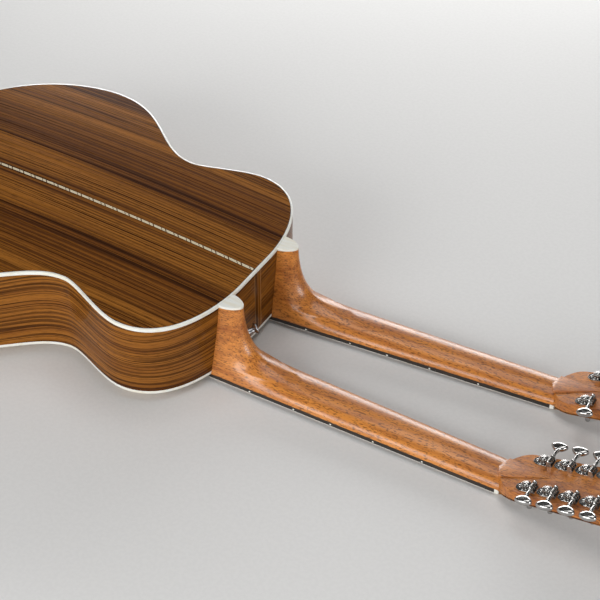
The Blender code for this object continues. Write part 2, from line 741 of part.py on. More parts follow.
def build_neck(key, spec, frame):
    neck = place(
        loft("neck", [neck_ring(spec, x) for x in neck_stations()]), f"{key}_neck", frame, material="mahogany"
    )
    head = head_matrix()
    combine(neck, place(head_mesh(spec), f"{key}_head", frame, head, helper=True), "UNION")
    combine(neck, place(dart_mesh(spec), f"{key}_dart", frame, helper=True), "UNION")
    plates, bores, shafts = [], [], []
    for _, along, side in tuner_places(spec):
        plates.append(plate_meshes(along, side))
        bores.append(post_cutter(along, side))
        shafts.append(shaft_cutter(along, side))
    plate_set = joined("tuner_plates", [parts[0] for parts in plates])
    combine(neck, place(plate_set, f"{key}_tuner_plates", frame, head, helper=True), "UNION")
    ear_set = joined("tuner_ears", [ear for parts in plates for ear in parts[1:]])
    combine(neck, place(ear_set, f"{key}_tuner_ears", frame, head, helper=True), "UNION")
    post_set = place(joined("post_bores", bores), f"{key}_post_bores", frame, head, helper=True)
    combine(neck, post_set, "DIFFERENCE")
    shaft_set = place(joined("shaft_bores", shafts), f"{key}_shaft_bores", frame, head, helper=True)
    combine(neck, shaft_set, "DIFFERENCE")
    channel = place(truss_rod_box(SEAT_GAP), f"{key}_rod_channel", frame, helper=True)
    combine(neck, channel, "DIFFERENCE")
    combine(neck, body_cutter, "DIFFERENCE")
    return post_set


def truss_rod_box(grow):
    """The adjustable rod that lies in a channel under the fingerboard, or the channel when grown."""
    half = TRUSS_ROD_WIDTH / 2 + grow
    low = (TRUSS_ROD_START - grow, -half, SEAT_GAP - 4 * grow)
    high = (NUT_X - TRUSS_ROD_END + grow, half, TRUSS_ROD_DEPTH + grow)
    return box("truss_rod", low, high)


def build_truss_rod(key, frame):
    place(truss_rod_box(0.0), f"{key}_truss_rod", frame, material="steel")


def build_heel_cap(key, spec, frame):
    line = []
    reach = HEEL_REACH
    for i in range(9):
        share = math.sin(math.pi / 2 * i / 8)
        line.append((reach * share, HEEL_HALF_WIDTH * heel_plan(share)))
    line = [(-NECK_RUN_IN, HEEL_HALF_WIDTH), *line]
    points = line + [(x, -y) for x, y in reversed(line[:-1])]
    cap = place(
        prism("heel_cap", points, HEEL_WOOD_TOP + SEAT_GAP, HEEL_TOP), f"{key}_heel_cap", frame, material="ivory"
    )
    combine(cap, body_cutter, "DIFFERENCE")


def fret_x(number):
    return NUT_X - SCALE_LENGTH * (1 - 2 ** (-number / 12))


def build_fingerboard(key, spec, frame):
    """The board runs from the nut over the body joint to its end by the sound hole, where it is packed down."""
    top = -BOARD_THICKNESS
    over_body = BODY_FRONT_X + SEAT_GAP
    board_end = fret_x(FRET_COUNT) - BOARD_PAST_LAST_FRET
    rings = []
    for x, under in (
        (board_end, -SEAT_GAP - slope_pitch * board_end),
        (over_body, -SEAT_GAP - slope_pitch * over_body),
        (over_body + SEAT_GAP, -SEAT_GAP / 2),
        (NUT_X - SEAT_GAP, -SEAT_GAP / 2),
    ):
        half = width_at(spec, x) / 2
        rings.append([(x, -half, top), (x, half, top), (x, half, under), (x, -half, under)])
    board = place(loft("fingerboard", rings), f"{key}_fingerboard", frame, material="ebony")
    frets = []
    for number in range(1, FRET_COUNT + 1):
        x = fret_x(number)
        half = width_at(spec, x) / 2 - FRET_INSET
        low = (x - FRET_WIDTH / 2, -half, top - FRET_HEIGHT)
        frets.append(box("fret", low, (x + FRET_WIDTH / 2, half, top + FRET_HEIGHT)))
    fret_set = place(joined("frets", frets), f"{key}_frets", frame, helper=True)
    combine(board, fret_set, "UNION")


def build_nut(key, spec, frame):
    half = spec["nut_width"] / 2
    crown = -(STRING_HEIGHT_AT_NUT - LOWEST_STRING_RADIUS - SEAT_GAP)
    shoulder = -(BOARD_THICKNESS - 0.0005)
    section = [
        (NUT_X, -SEAT_GAP / 2),
        (NUT_X, crown),
        (NUT_X + NUT_LENGTH * 0.4, crown),
        (NUT_X + NUT_LENGTH - SEAT_GAP, shoulder),
        (NUT_X + NUT_LENGTH - SEAT_GAP, -SEAT_GAP / 2),
    ]
    mesh = loft("nut", [[(x, y, z) for x, z in section] for y in (-half, half)])
    place(mesh, f"{key}_nut", frame, material="ivory")


def build_headplate(key, spec, frame, post_set):
    length = head_length(spec)
    alongs = [HEADPLATE_START, HEAD_SHOULDER * 0.36, HEAD_SHOULDER * 0.65, HEAD_SHOULDER, length - HEAD_CORNER]
    line = [(along, head_half(spec, along)) for along in alongs]
    line.append((length, head_half(spec, length) - HEAD_CORNER))
    points = line + [(x, -y) for x, y in reversed(line)]
    high = -HEAD_WOOD_THICKNESS - SEAT_GAP
    plate = place(
        prism("headplate", points, high - HEADPLATE_THICKNESS, high),
        f"{key}_headplate",
        frame,
        head_matrix(),
        material="rosewood",
    )
    combine(plate, post_set, "DIFFERENCE")


# Tuning machines: a worm on the key's shaft turns the gear on the string post
def worm_lead():
    """Axial pitch of the single-start worm: one gear tooth at the radius where the two mesh."""
    return 2 * math.pi * (GEAR_TIP_RADIUS - TOOTH_DEPTH / 2) / GEAR_TEETH


def gear_mesh():
    """Toothed wheel whose teeth lean with the worm's thread. A tooth points along +X."""
    pitch = 2 * math.pi / GEAR_TEETH
    tip = GEAR_TIP_HALF / GEAR_TIP_RADIUS
    thread_slope = worm_lead() / (2 * math.pi * (WORM_TIP_RADIUS - TOOTH_DEPTH / 2))
    twist = GEAR_THICKNESS / 2 * thread_slope / GEAR_TIP_RADIUS
    rings = []
    for end in (-1, 1):
        ring = []
        for tooth in range(GEAR_TEETH):
            for angle, radius in ((-tip, GEAR_TIP_RADIUS), (tip, GEAR_TIP_RADIUS), (pitch / 2, GEAR_ROOT_RADIUS)):
                turn = tooth * pitch + angle + end * twist
                ring.append((radius * math.cos(turn), radius * math.sin(turn), GEAR_HEIGHT + end * GEAR_THICKNESS / 2))
        rings.append(ring)
    return loft("gear", rings)


def post_mesh():
    """String post with its gear, cap and string windings, its axis on Z."""
    front = -HEAD_WOOD_THICKNESS - SEAT_GAP - HEADPLATE_THICKNESS
    tip = front - POST_REACH
    winding_low = front - STRING_POST_DROP - WINDING_LENGTH / 2
    winding_high = winding_low + WINDING_LENGTH
    gear_face = GEAR_HEIGHT + GEAR_THICKNESS / 2
    profile = [
        (POST_RADIUS * 0.8, tip),
        (POST_RADIUS, tip + POST_TIP_CHAMFER),
        (POST_RADIUS, winding_low),
        (WINDING_RADIUS, winding_low),
        (WINDING_RADIUS, winding_high),
        (POST_RADIUS, winding_high),
        (POST_RADIUS, gear_face + GEAR_CAP_SHOULDER),
        (POST_RADIUS * 0.7, gear_face + GEAR_CAP_HEIGHT),
    ]
    post = place(turned("post", profile, ROUND_FACETS), "post_blank", None, helper=True)
    gear = place(gear_mesh(), "gear_blank", None, helper=True)
    combine(post, gear, "UNION")
    mesh = baked(post)
    bpy.data.objects.remove(gear, do_unlink=True)
    return mesh


def worm_shaft_mesh(facing):
    """Worm and shaft along +Y with a right-hand thread. A valley lies at y = 0 on the side that faces the gear."""
    lead = worm_lead()
    crest_half = GEAR_TIP_HALF
    turns = math.ceil(WORM_HALF_LENGTH / lead) + 1
    marks = []
    for turn in range(-turns - 1, turns + 1):
        marks.append((turn * lead, WORM_ROOT_RADIUS))
        marks.append(((turn + 0.5) * lead - crest_half, WORM_TIP_RADIUS))
        marks.append(((turn + 0.5) * lead + crest_half, WORM_TIP_RADIUS))
    build = bmesh.new()
    columns = []
    for i in range(WORM_FACETS + 1):
        angle = facing + 2 * math.pi * i / WORM_FACETS
        column = []
        for along, radius in marks:
            y = along + lead * i / WORM_FACETS
            if abs(y) > WORM_HALF_LENGTH:
                y = math.copysign(WORM_HALF_LENGTH, y)
                radius = WORM_ROOT_RADIUS
            column.append(build.verts.new((radius * math.sin(angle), y, radius * math.cos(angle))))
        columns.append(column)
    for near, far in zip(columns, columns[1:]):
        for k in range(len(marks) - 1):
            build.faces.new((near[k], near[k + 1], far[k + 1], far[k]))
    shaft_end = KNOB_START + KNOB_DEPTH * 0.3
    inner_end = -(PLATE_HALF_WIDTH - EAR_THICKNESS - SEAT_GAP)
    for start, end in ((WORM_HALF_LENGTH, shaft_end), (-WORM_HALF_LENGTH, inner_end)):
        rows = []
        for y in (start, end):
            row = []
            for i in range(WORM_FACETS):
                angle = facing + 2 * math.pi * i / WORM_FACETS
                row.append(
                    build.verts.new((WORM_ROOT_RADIUS * math.sin(angle), y, WORM_ROOT_RADIUS * math.cos(angle)))
                )
            rows.append(row)
        for i in range(WORM_FACETS):
            j = (i + 1) % WORM_FACETS
            build.faces.new((rows[0][i], rows[0][j], rows[1][j], rows[1][i]))
        build.faces.new(rows[1])
    return tidy_mesh("worm_shaft", build)


def knob_mesh():
    """Almond-shaped knob, widest beyond its middle, on the end of the shaft."""
    plan = ((0.00, 0.0), (0.45, 0.05), (0.82, 0.30), (1.0, 0.58), (0.84, 0.80), (0.46, 0.95), (0.0, 1.0))
    points = [(KNOB_HALF_LENGTH * x, KNOB_DEPTH * (y - 0.5)) for x, y in plan]
    points += [(-x, y) for x, y in reversed(points[1:-1])]
    centre = KNOB_START + KNOB_DEPTH / 2
    rings = []
    for height, share in ((-1.0, 0.55), (0.0, 1.0), (1.0, 0.55)):
        z = height * KNOB_THICKNESS / 2
        rings.append([(x * share, centre + y * share, z) for x, y in points])
    return loft("knob", rings)


def key_mesh(side):
    facing = math.radians(-90 if side > 0 else 90)
    shaft = place(worm_shaft_mesh(facing), "worm_blank", None, helper=True)
    knob = place(knob_mesh(), "knob_blank", None, helper=True)
    combine(shaft, knob, "UNION")
    mesh = baked(shaft)
    bpy.data.objects.remove(knob, do_unlink=True)
    return mesh


def build_tuners():
    posts = post_mesh()
    keys = {side: key_mesh(side) for side in (-1, 1)}
    for key, spec in NECKS.items():
        head = frames[key]["head"]
        for name, along, side in tuner_places(spec):
            lateral = side * POST_LATERAL
            place(posts, f"{key}_post_{name}", head, Matrix.Translation((along, lateral, 0)), "nickel")
            turn = Matrix.Rotation(0.0 if side > 0 else math.pi, 4, "Z")
            centre = Matrix.Translation((along + worm_offset(), lateral, GEAR_HEIGHT))
            place(keys[side], f"{key}_key_{name}", head, centre @ turn, "nickel")


# Bridge, saddles and strings
SADDLE_X = NUT_X - SCALE_LENGTH


def saddle_box(frame_matrix, grow):
    """The saddle as a box in its neck's frame, its foot in the bridge's slot."""
    top = neck_height_of_string(SADDLE_X) + LOWEST_STRING_RADIUS * 0.5
    bottom = -(BRIDGE_HEIGHT - SADDLE_SLOT_DEPTH) - slope_pitch * SADDLE_X
    half = SADDLE_THICKNESS / 2
    mesh = box(
        "saddle",
        (SADDLE_X - half - grow, -SADDLE_HALF_LENGTH - grow, top - grow),
        (SADDLE_X + half + grow, SADDLE_HALF_LENGTH + grow, bottom + grow),
    )
    return moved(mesh, frame_matrix)


def neck_height_of_string(x):
    """Height of the string line in the neck's frame at x, negative on the strings' side."""
    at_saddle = -SADDLE_STRING_HEIGHT - slope_pitch * SADDLE_X
    return -STRING_HEIGHT_AT_NUT + (at_saddle + STRING_HEIGHT_AT_NUT) * (NUT_X - x) / SCALE_LENGTH


def build_bridge():
    rings = []
    middle = BRIDGE_HALF_WIDTH
    for y, height, share in (
        (-middle - BRIDGE_WING, BRIDGE_WING_HEIGHT, 0.72),
        (-middle - BRIDGE_WING * 0.25, BRIDGE_WING_HEIGHT * 1.3, 0.96),
        (-middle, BRIDGE_HEIGHT, 1.0),
        (middle, BRIDGE_HEIGHT, 1.0),
        (middle + BRIDGE_WING * 0.25, BRIDGE_WING_HEIGHT * 1.3, 0.96),
        (middle + BRIDGE_WING, BRIDGE_WING_HEIGHT, 0.72),
    ):
        centre = SADDLE_X + (BRIDGE_FRONT - BRIDGE_BACK) / 2
        half = (BRIDGE_FRONT + BRIDGE_BACK) / 2 * share
        rings.append(
            [
                (centre - half, y, -SEAT_GAP),
                (centre - half, y, -height + BRIDGE_EDGE),
                (centre - half + BRIDGE_EDGE, y, -height),
                (centre + half - BRIDGE_EDGE, y, -height),
                (centre + half, y, -height + BRIDGE_EDGE),
                (centre + half, y, -SEAT_GAP),
            ]
        )
    bridge = place(loft("bridge", rings), "bridge", guitar_frame, material="ebony")
    slots = [saddle_box(neck_matrix(spec), SEAT_GAP) for spec in NECKS.values()]
    combine(bridge, place(joined("saddle_slots", slots), "saddle_slots", guitar_frame, helper=True), "DIFFERENCE")


def string_lines(spec):
    """Each string of a neck: its side positions at nut and saddle, its radius and its post."""
    lines = []
    for course, radius in enumerate(spec["radii"]):
        share = course / 5 - 0.5
        nut, saddle = share * spec["course_spread_nut"], share * spec["course_spread_saddle"]
        gap = spec["pair_half_gap"]
        if spec["octave_radii"]:
            lines.append((nut - gap, saddle - gap, radius))
            lines.append((nut + gap, saddle + gap, spec["octave_radii"][course]))
        else:
            lines.append((nut, saddle, radius))
    half = len(lines) // 2
    posts = [(along, side) for _, along, side in tuner_places(spec)]
    bass, treble = posts[:half], posts[half:]
    return list(zip(lines[:half], bass)) + list(zip(reversed(lines[half:]), treble))


def string_mesh(spec, line, post):
    (at_nut, at_saddle, radius), (along, side) = line, post
    front = -HEAD_WOOD_THICKNESS - SEAT_GAP - HEADPLATE_THICKNESS
    clear = WINDING_RADIUS + SEAT_GAP + radius
    end = head_matrix() @ Vector((along, side * (POST_LATERAL - clear), front - STRING_POST_DROP))
    behind = SADDLE_X - PIN_OFFSET
    pin_height = -(BRIDGE_HEIGHT + SEAT_GAP + radius) - slope_pitch * behind
    points = [
        Vector((behind, at_saddle, pin_height)),
        Vector((SADDLE_X, at_saddle, neck_height_of_string(SADDLE_X))),
        Vector((NUT_X + NUT_LENGTH * 0.2, at_nut, neck_height_of_string(NUT_X))),
        end,
    ]
    curve = bpy.data.curves.new("string", "CURVE")
    curve.dimensions = "3D"
    curve.bevel_depth = radius
    curve.bevel_resolution = 0
    curve.use_fill_caps = True
    spline = curve.splines.new("POLY")
    spline.points.add(len(points) - 1)
    for knot, point in zip(spline.points, points):
        knot.co = (*point, 1)
    wire = bpy.data.objects.new("string", curve)
    cutters.objects.link(wire)
    mesh = baked(wire)
    build = bmesh.new()
    build.from_mesh(mesh)
    return tidy_mesh("string", build)


def build_strings(key, spec, frame):
    """The strings of one neck with the saddle that they pass over."""
    strings = place(saddle_box(Matrix(), 0.0), f"{key}_strings", frame, material="string_metal")
    for number, (line, post) in enumerate(string_lines(spec), start=1):
        wire = place(string_mesh(spec, line, post), f"{key}_string_{number}", frame, helper=True)
        combine(strings, wire, "UNION")


# Strap button and end pin
def button_mesh():
    """A turned button that stands on its foot, its head at the end of +X."""
    radius, length = BUTTON_RADIUS, BUTTON_LENGTH
    profile = (
        (BUTTON_FOOT_RADIUS, 0.0),
        (0.55 * radius, 0.25 * length),
        (0.50 * radius, 0.60 * length),
        (0.95 * radius, 0.82 * length),
        (radius, 0.92 * length),
        (0.80 * radius, length),
    )
    return turned("button", profile, 12, "X")


def build_strap_button(key, spec, frame):
    """The button's foot lies on the heel's flank, square to the plane through the flank round its screw."""
    bpy.context.view_layer.update()
    neck = bpy.data.objects[f"{key}_neck"].evaluated_get(bpy.context.evaluated_depsgraph_get())
    inner = -spec["side"]

    def flank(ahead, above):
        """Where a line from between the necks meets the flank, beside the screw by this much."""
        start = Vector((BUTTON_REACH + ahead, inner * NECK_SPACING / 2, BUTTON_HEIGHT + above))
        return neck.ray_cast(start, Vector((0, -inner, 0)))[1]

    foot = BUTTON_FOOT_RADIUS
    upward, forward = flank(0, foot) - flank(0, -foot), flank(foot, 0) - flank(-foot, 0)
    outward = upward.normalized().cross(forward.normalized()).normalized() * inner
    turn = outward.to_track_quat("X", "Z").to_matrix().to_4x4()
    seat = flank(0, 0) + outward * SEAT_GAP
    place(button_mesh(), "strap_button", frame, Matrix.Translation(seat) @ turn, "steel")


def build_end_pin():
    at_tail = Matrix.Translation((TAIL_X - SEAT_GAP, 0, END_PIN_HEIGHT)) @ Matrix.Rotation(math.pi, 4, "Z")
    place(button_mesh(), "end_pin", guitar_frame, at_tail, "ebony")


body_cutter = place(
    prism("body_space", inset(-SEAT_GAP), -0.0001, BODY_DEPTH * 1.5), "body_space", guitar_frame, helper=True
)
build_back()
build_soundboard()
build_rims()
build_block("neck_block", 1, BLOCK_HALF_WIDTH, BLOCK_DEPTH)
build_block("tail_block", -1, TAIL_BLOCK_HALF_WIDTH, TAIL_BLOCK_DEPTH)
build_bridge()
build_end_pin()

frames = {}
for neck_key, neck_spec in NECKS.items():
    neck_frame = empty(f"{neck_key}_neck_frame", guitar_frame, neck_matrix(neck_spec))
    head_frame = empty(f"{neck_key}_head_frame", neck_frame, head_matrix())
    frames[neck_key] = {"neck": neck_frame, "head": head_frame}
    post_bores = build_neck(neck_key, neck_spec, neck_frame)
    build_truss_rod(neck_key, neck_frame)
    build_heel_cap(neck_key, neck_spec, neck_frame)
    build_fingerboard(neck_key, neck_spec, neck_frame)
    build_nut(neck_key, neck_spec, neck_frame)
    build_headplate(neck_key, neck_spec, neck_frame, post_bores)
    build_strings(neck_key, neck_spec, neck_frame)
build_strap_button("twelve", NECKS["twelve"], frames["twelve"]["neck"])
build_tuners()

# Lay the guitar on its strings, with the origin under the middle of its length
bpy.context.view_layer.update()
graph = bpy.context.evaluated_depsgraph_get()
low, high = Vector((1e3, 1e3, 1e3)), Vector((-1e3, -1e3, -1e3))
for piece in guitar.objects:
    if piece.type != "MESH" or piece.hide_render:
        continue
    shape = piece.evaluated_get(graph)
    for vertex in shape.data.vertices:
        point = shape.matrix_world @ vertex.co
        low = Vector(map(min, low, point))
        high = Vector(map(max, high, point))
offset = Matrix.Translation((-(low.x + high.x) / 2, -(low.y + high.y) / 2, -low.z))
guitar_frame.matrix_world = offset @ guitar_frame.matrix_world
bpy.context.view_layer.update()
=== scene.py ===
"""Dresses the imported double-neck guitar: its woods, bindings, inlays, strings and tuning machines.

The guitar lies face down, resting on its strings, with the heads towards +X and the bass side towards -Y.
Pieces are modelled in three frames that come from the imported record: the body's, each neck's and each head's.
"""

import json
import math

import bmesh
import bpy
from bpy.props import FloatProperty, FloatVectorProperty, IntProperty, PointerProperty
from bpy.types import Operator, Panel, PropertyGroup
from mathutils import Matrix, Vector


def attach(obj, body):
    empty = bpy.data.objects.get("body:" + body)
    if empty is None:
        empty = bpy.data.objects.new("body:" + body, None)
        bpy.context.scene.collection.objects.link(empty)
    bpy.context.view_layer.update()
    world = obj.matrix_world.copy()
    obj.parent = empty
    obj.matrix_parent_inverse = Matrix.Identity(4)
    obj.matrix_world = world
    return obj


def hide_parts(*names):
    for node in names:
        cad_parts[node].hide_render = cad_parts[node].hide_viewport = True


bl_info = {
    "name": "Double-neck acoustic guitar",
    "version": (1, 0, 0),
    "blender": (4, 5, 0),
    "location": "3D View > Sidebar > Guitar",
    "description": "Builds the visible pieces of a double-neck acoustic guitar round its packed solids",
    "category": "Add Mesh",
}

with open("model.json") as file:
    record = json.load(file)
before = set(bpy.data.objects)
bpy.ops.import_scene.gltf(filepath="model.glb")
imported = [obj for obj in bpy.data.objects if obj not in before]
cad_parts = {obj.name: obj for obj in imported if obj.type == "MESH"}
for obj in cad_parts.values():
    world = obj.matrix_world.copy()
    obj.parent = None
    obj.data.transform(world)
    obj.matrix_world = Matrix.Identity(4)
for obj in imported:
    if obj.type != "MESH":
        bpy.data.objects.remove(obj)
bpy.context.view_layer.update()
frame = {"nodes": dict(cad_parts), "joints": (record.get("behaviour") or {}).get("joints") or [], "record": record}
MOUNTS = {mount["name"]: mount for mount in frame["record"]["mounts"]}
JOINTS = {joint["name"]: joint for joint in frame["joints"]}

# How the necks differ. side: -1 is the bass side. machines: tuning machines on each side of the head
NECKS = {
    "twelve": {
        "side": -1,
        "machines": 6,
        "nut_width": 0.0444,
        "width_growth": 0.0111,
        "spread_nut": 0.0350,
        "spread_saddle": 0.0530,
        "pair_half_gap": 0.0012,
        "gauges": (0.00060, 0.00048, 0.00038, 0.00030, 0.00020, 0.00015),
        "octave_gauges": (0.00032, 0.00025, 0.00018, 0.00015, 0.00020, 0.00015),
    },
    "six": {
        "side": 1,
        "machines": 3,
        "nut_width": 0.0429,
        "width_growth": 0.0122,
        "spread_nut": 0.0355,
        "spread_saddle": 0.0540,
        "pair_half_gap": 0.0,
        "gauges": (0.00067, 0.00053, 0.00040, 0.00030, 0.00020, 0.00015),
        "octave_gauges": (),
    },
}

# SEAM is the gap between glued solids. PROUD keeps the faces of neighbouring pieces apart
SEAM = 0.0003
PROUD = 0.00005

# Woods and inlays: pitches of the rosewood's lines and of the centre strip's blocks, widths of inlaid lines
LINE_PITCH, BLOCK_PERIOD = 0.0054, 0.0175
BACK_PURFLING = 0.0005
TOP_PURFLING = (0.00045, 0.00040, 0.00045)
ROSETTE = (0.0006, 0.0005, 0.0006, 0.0028, 0.0006, 0.0005, 0.0006)
BACK_BRACES = (-0.0850, -0.1900, -0.2950, -0.4000)

# Strap buttons, strings and frets
BUTTON_LENGTH, BUTTON_RADIUS, BUTTON_FOOT = 0.0110, 0.0070, 0.0042
END_PIN_HEIGHT = 0.0600
STRING_AT_NUT, STRING_AT_SADDLE = 0.0081, 0.0150
PIN_OFFSET = 0.0130
WINDING, WAIST = 0.0035, 0.88
FRET_DOTS = {3: 1, 5: 1, 7: 1, 9: 1, 12: 2, 15: 1, 17: 1, 19: 1}


def length(title, about, metres):
    return FloatProperty(name=title, description=about, default=metres, precision=5, unit="LENGTH")


def angle(title, about, degrees):
    return FloatProperty(name=title, description=about, default=math.radians(degrees), subtype="ANGLE")


def number(title, about, value):
    return FloatProperty(name=title, description=about, default=value)


def colour(title, about, rgb):
    limits = {"size": 3, "min": 0, "max": 1, "subtype": "COLOR"}
    return FloatVectorProperty(name=title, description=about, default=rgb, **limits)


class BodySizes(PropertyGroup):
    front_x: length("Neck end", "Where the body meets the necks", 0.0030)
    front_flat: length("Neck end flat", "Half of the flat between the necks", 0.0330)
    upper_x: length("Upper bout place", "Place of the upper bout's widest point", -0.0812)
    upper_half: length("Upper bout", "Half of the upper bout's width", 0.1634)
    waist_x: length("Waist place", "Place of the waist", -0.1719)
    waist_half: length("Waist", "Half of the waist's width", 0.1348)
    lower_x: length("Lower bout place", "Place of the lower bout's widest point", -0.3396)
    lower_half: length("Lower bout", "Half of the lower bout's width", 0.2180)
    tail_x: length("Tail", "Where the body ends", -0.5190)
    depth: length("Depth", "Depth of the body at the joint with the necks", 0.0951)
    depth_growth: number("Taper", "How much deeper the body grows for each metre towards the tail", 0.049)
    arch_radius: length("Back arch", "Radius of the arch of the back", 4.570)
    arch_x: length("Arch centre", "Where the arch of the back is highest", -0.250)
    arch_reach: length("Arch reach", "Distance from the arch's centre at which it meets the taper", 0.250)
    plate: length("Plates", "Thickness of the back and of the soundboard", 0.0028)
    wall: length("Sides", "Thickness of the sides", 0.0023)
    binding: length("Binding", "Width of the binding", 0.0022)
    back_binding_height: length("Back binding height", "Height of the binding at the back", 0.0041)
    top_binding_height: length("Top binding height", "Height of the binding at the soundboard", 0.0042)
    hole_x: length("Sound hole place", "Centre of the sound hole", -0.1650)
    hole_radius: length("Sound hole", "Radius of the sound hole", 0.0510)


class NeckSizes(PropertyGroup):
    scale: length("Scale length", "Length of the open strings", 0.6452)
    nut_x: length("Nut", "Distance of the nut from the body joint", 0.3578)
    spacing: length("Spacing", "Distance between the two necks at the body", 0.1247)
    fan: angle("Fan", "Angle by which each neck leans outwards", 2.14)
    pitch: angle("Pitch", "Angle by which each neck leans back", 0.72)
    crest: length("Thickness", "Height of the neck's back above the fretboard, at the nut", 0.0132)
    crest_growth: number("Thickening", "How much thicker the neck gets for each metre to the body", 0.0065)
    roundness: number("Roundness", "Exponent of the neck's rounded back", 2.16)
    board: length("Fretboard", "Thickness of the fretboard", 0.0065)
    board_end: length("Fretboard end", "How far the fretboard runs on past its last fret", 0.0070)
    frets: IntProperty(name="Frets", description="Number of frets", default=20)
    nut_length: length("Nut length", "Length of the nut along the neck", 0.0052)
    heel_reach: length("Heel", "How far the heel stands out from the body", 0.0248)
    heel_half: length("Heel width", "Half of the heel's width at its cap", 0.0132)
    heel_cap: length("Heel cap", "Thickness of the heel cap", 0.0032)
    head_tilt: angle("Head tilt", "Angle by which the head leans back", 12.7)
    head_back: length("Head back", "Height of the head's back face at the nut", 0.0133)
    head_wood: length("Head", "Thickness of the head's wood", 0.0132)
    headplate: length("Headplate", "Thickness of the veneer on the head's face", 0.0020)
    head_half: length("Head width", "Half of the head's width at its shoulders", 0.0310)
    head_flare: number("Head flare", "How much wider each side of the head grows for each metre", 0.050)
    shoulder: length("Shoulders", "Distance of the head's shoulders from the nut", 0.0270)
    beyond: length("Head end", "How far the head runs on past its last tuning machine", 0.0200)


class MachineSizes(PropertyGroup):
    post_radius: length("String post", "Radius of the string posts", 0.0030)
    post_reach: length("Post reach", "How far the posts stand out of the head's face", 0.0115)
    gear_tip: length("Gear", "Radius of the gear over its teeth", 0.0055)
    gear_root: length("Gear root", "Radius of the gear between its teeth", 0.0039)
    gear_thickness: length("Gear thickness", "Thickness of the gear", 0.0030)
    gear_height: length("Gear height", "Height of the gear above the head", 0.0045)
    teeth: IntProperty(name="Teeth", description="Teeth on the gear", default=14)
    worm_tip: length("Worm", "Radius of the worm over its thread", 0.00305)
    worm_root: length("Worm root", "Radius of the worm's shaft", 0.0013)
    mesh_depth: length("Tooth depth", "How deep the worm's thread reaches between the teeth", 0.0010)
    plate: length("Base plate", "Thickness of the base plate", 0.0010)
    plate_half: length("Base plate width", "Half of the base plate's width", 0.0066)
    knob_start: length("Knob place", "Distance of the knob from the post", 0.0178)
    knob_half: length("Knob width", "Half of the knob's width", 0.0098)
    knob_depth: length("Knob depth", "Depth of the knob along its shaft", 0.0110)
    knob_thickness: length("Knob thickness", "Thickness of the knob", 0.0070)


class Colours(PropertyGroup):
    rosewood_dark: colour("Rosewood, dark", "Dark lines of the back and sides", (0.022, 0.0058, 0.0010))
    rosewood_mid: colour("Rosewood", "Main colour of the back and sides", (0.140, 0.045, 0.0065))
    rosewood_light: colour("Rosewood, light", "Light lines of the back and sides", (0.290, 0.108, 0.016))
    mahogany_dark: colour("Mahogany, dark", "Dark figure of the necks", (0.310, 0.085, 0.012))
    mahogany_light: colour("Mahogany, light", "Light figure of the necks", (0.620, 0.232, 0.044))
    spruce: colour("Spruce", "The soundboard", (0.680, 0.440, 0.200))
    ivory: colour("Binding", "Binding, nuts, saddles and heel caps", (0.780, 0.785, 0.735))
    ebony: colour("Ebony", "Fretboards and bridge", (0.016, 0.012, 0.010))
    nickel: colour("Nickel", "Tuning machines", (0.500, 0.490, 0.475))
    bronze: colour("Bronze", "Wound strings", (0.560, 0.330, 0.150))
    floor: colour("Floor", "The floor under the guitar", (0.760, 0.755, 0.745))


class Wire:
    """A shader socket that takes part in Python arithmetic: each operator adds its Math node."""

    def __init__(self, wiring, socket):
        self.wiring, self.socket = wiring, socket

    def math(self, operation, *others):
        return self.wiring.node("ShaderNodeMath", {"operation": operation}, (self, *others))

    def __add__(self, other):
        return self.math("ADD", other)

    def __sub__(self, other):
        return self.math("SUBTRACT", other)

    def __rsub__(self, other):
        return (self * -1.0) + other

    def __mul__(self, other):
        return self.math("MULTIPLY", other)

    __radd__, __rmul__ = __add__, __mul__


class Wiring:
    """A shader tree under construction."""

    def __init__(self, tree):
        self.tree = tree

    def node(self, kind, settings=None, values=(), output=0):
        """Adds a node, makes its settings, then fills its sockets, which are named or given in order."""
        made = self.tree.nodes.new(kind)
        for key, value in (settings or {}).items():
            if key == "stops":
                ramp = made.color_ramp.elements
                while len(ramp) < len(value):
                    ramp.new(1.0)
                for element, (place, shade) in zip(ramp, value):
                    element.position, element.color = place, (*shade, 1.0)
            else:
                setattr(made, key, value)
        pairs = values.items() if isinstance(values, dict) else enumerate(values)
        for key, value in pairs:
            self.fill(made.inputs[key], value)
        return Wire(self, made.outputs[output])

    def fill(self, socket, value):
        if isinstance(value, Wire):
            self.tree.links.new(value.socket, socket)
        elif hasattr(value, "__len__") and len(value) == 3 and socket.type == "RGBA":
            socket.default_value = (*value, 1.0)
        else:
            socket.default_value = value

    def parts(self, coordinates):
        """The three parts of a place or direction."""
        point = self.node("ShaderNodeTexCoord", output=coordinates)
        split = self.node("ShaderNodeSeparateXYZ", None, [point]).socket.node
        return [Wire(self, split.outputs[i]) for i in range(3)]

    def grain(self, place, rates, detail):
        """Noise over a place whose parts are first drawn out, each by its own rate."""
        point = self.node("ShaderNodeCombineXYZ", None, [part * rate for part, rate in zip(place, rates)])
        values = {"Vector": point, "Scale": 1.0, "Detail": detail, "Roughness": 0.55}
        return self.node("ShaderNodeTexNoise", {"noise_dimensions": "3D"}, values)

    def ramp(self, value, stops):
        return self.node("ShaderNodeValToRGB", {"stops": stops}, [value])

    def step(self, value, low, high, to_low=0.0, to_high=1.0):
        """Value spread from one range to another and held within it."""
        return self.node("ShaderNodeMapRange", {"clamp": True}, (value, low, high, to_low, to_high))

    def blend(self, factor, first, second):
        mix = self.node("ShaderNodeMix", {"data_type": "RGBA"}).socket.node
        tones = [socket for socket in mix.inputs if socket.type == "RGBA"]
        for socket, value in zip((mix.inputs[0], *tones), (factor, first, second)):
            self.fill(socket, value)
        return Wire(self, next(socket for socket in mix.outputs if socket.type == "RGBA"))


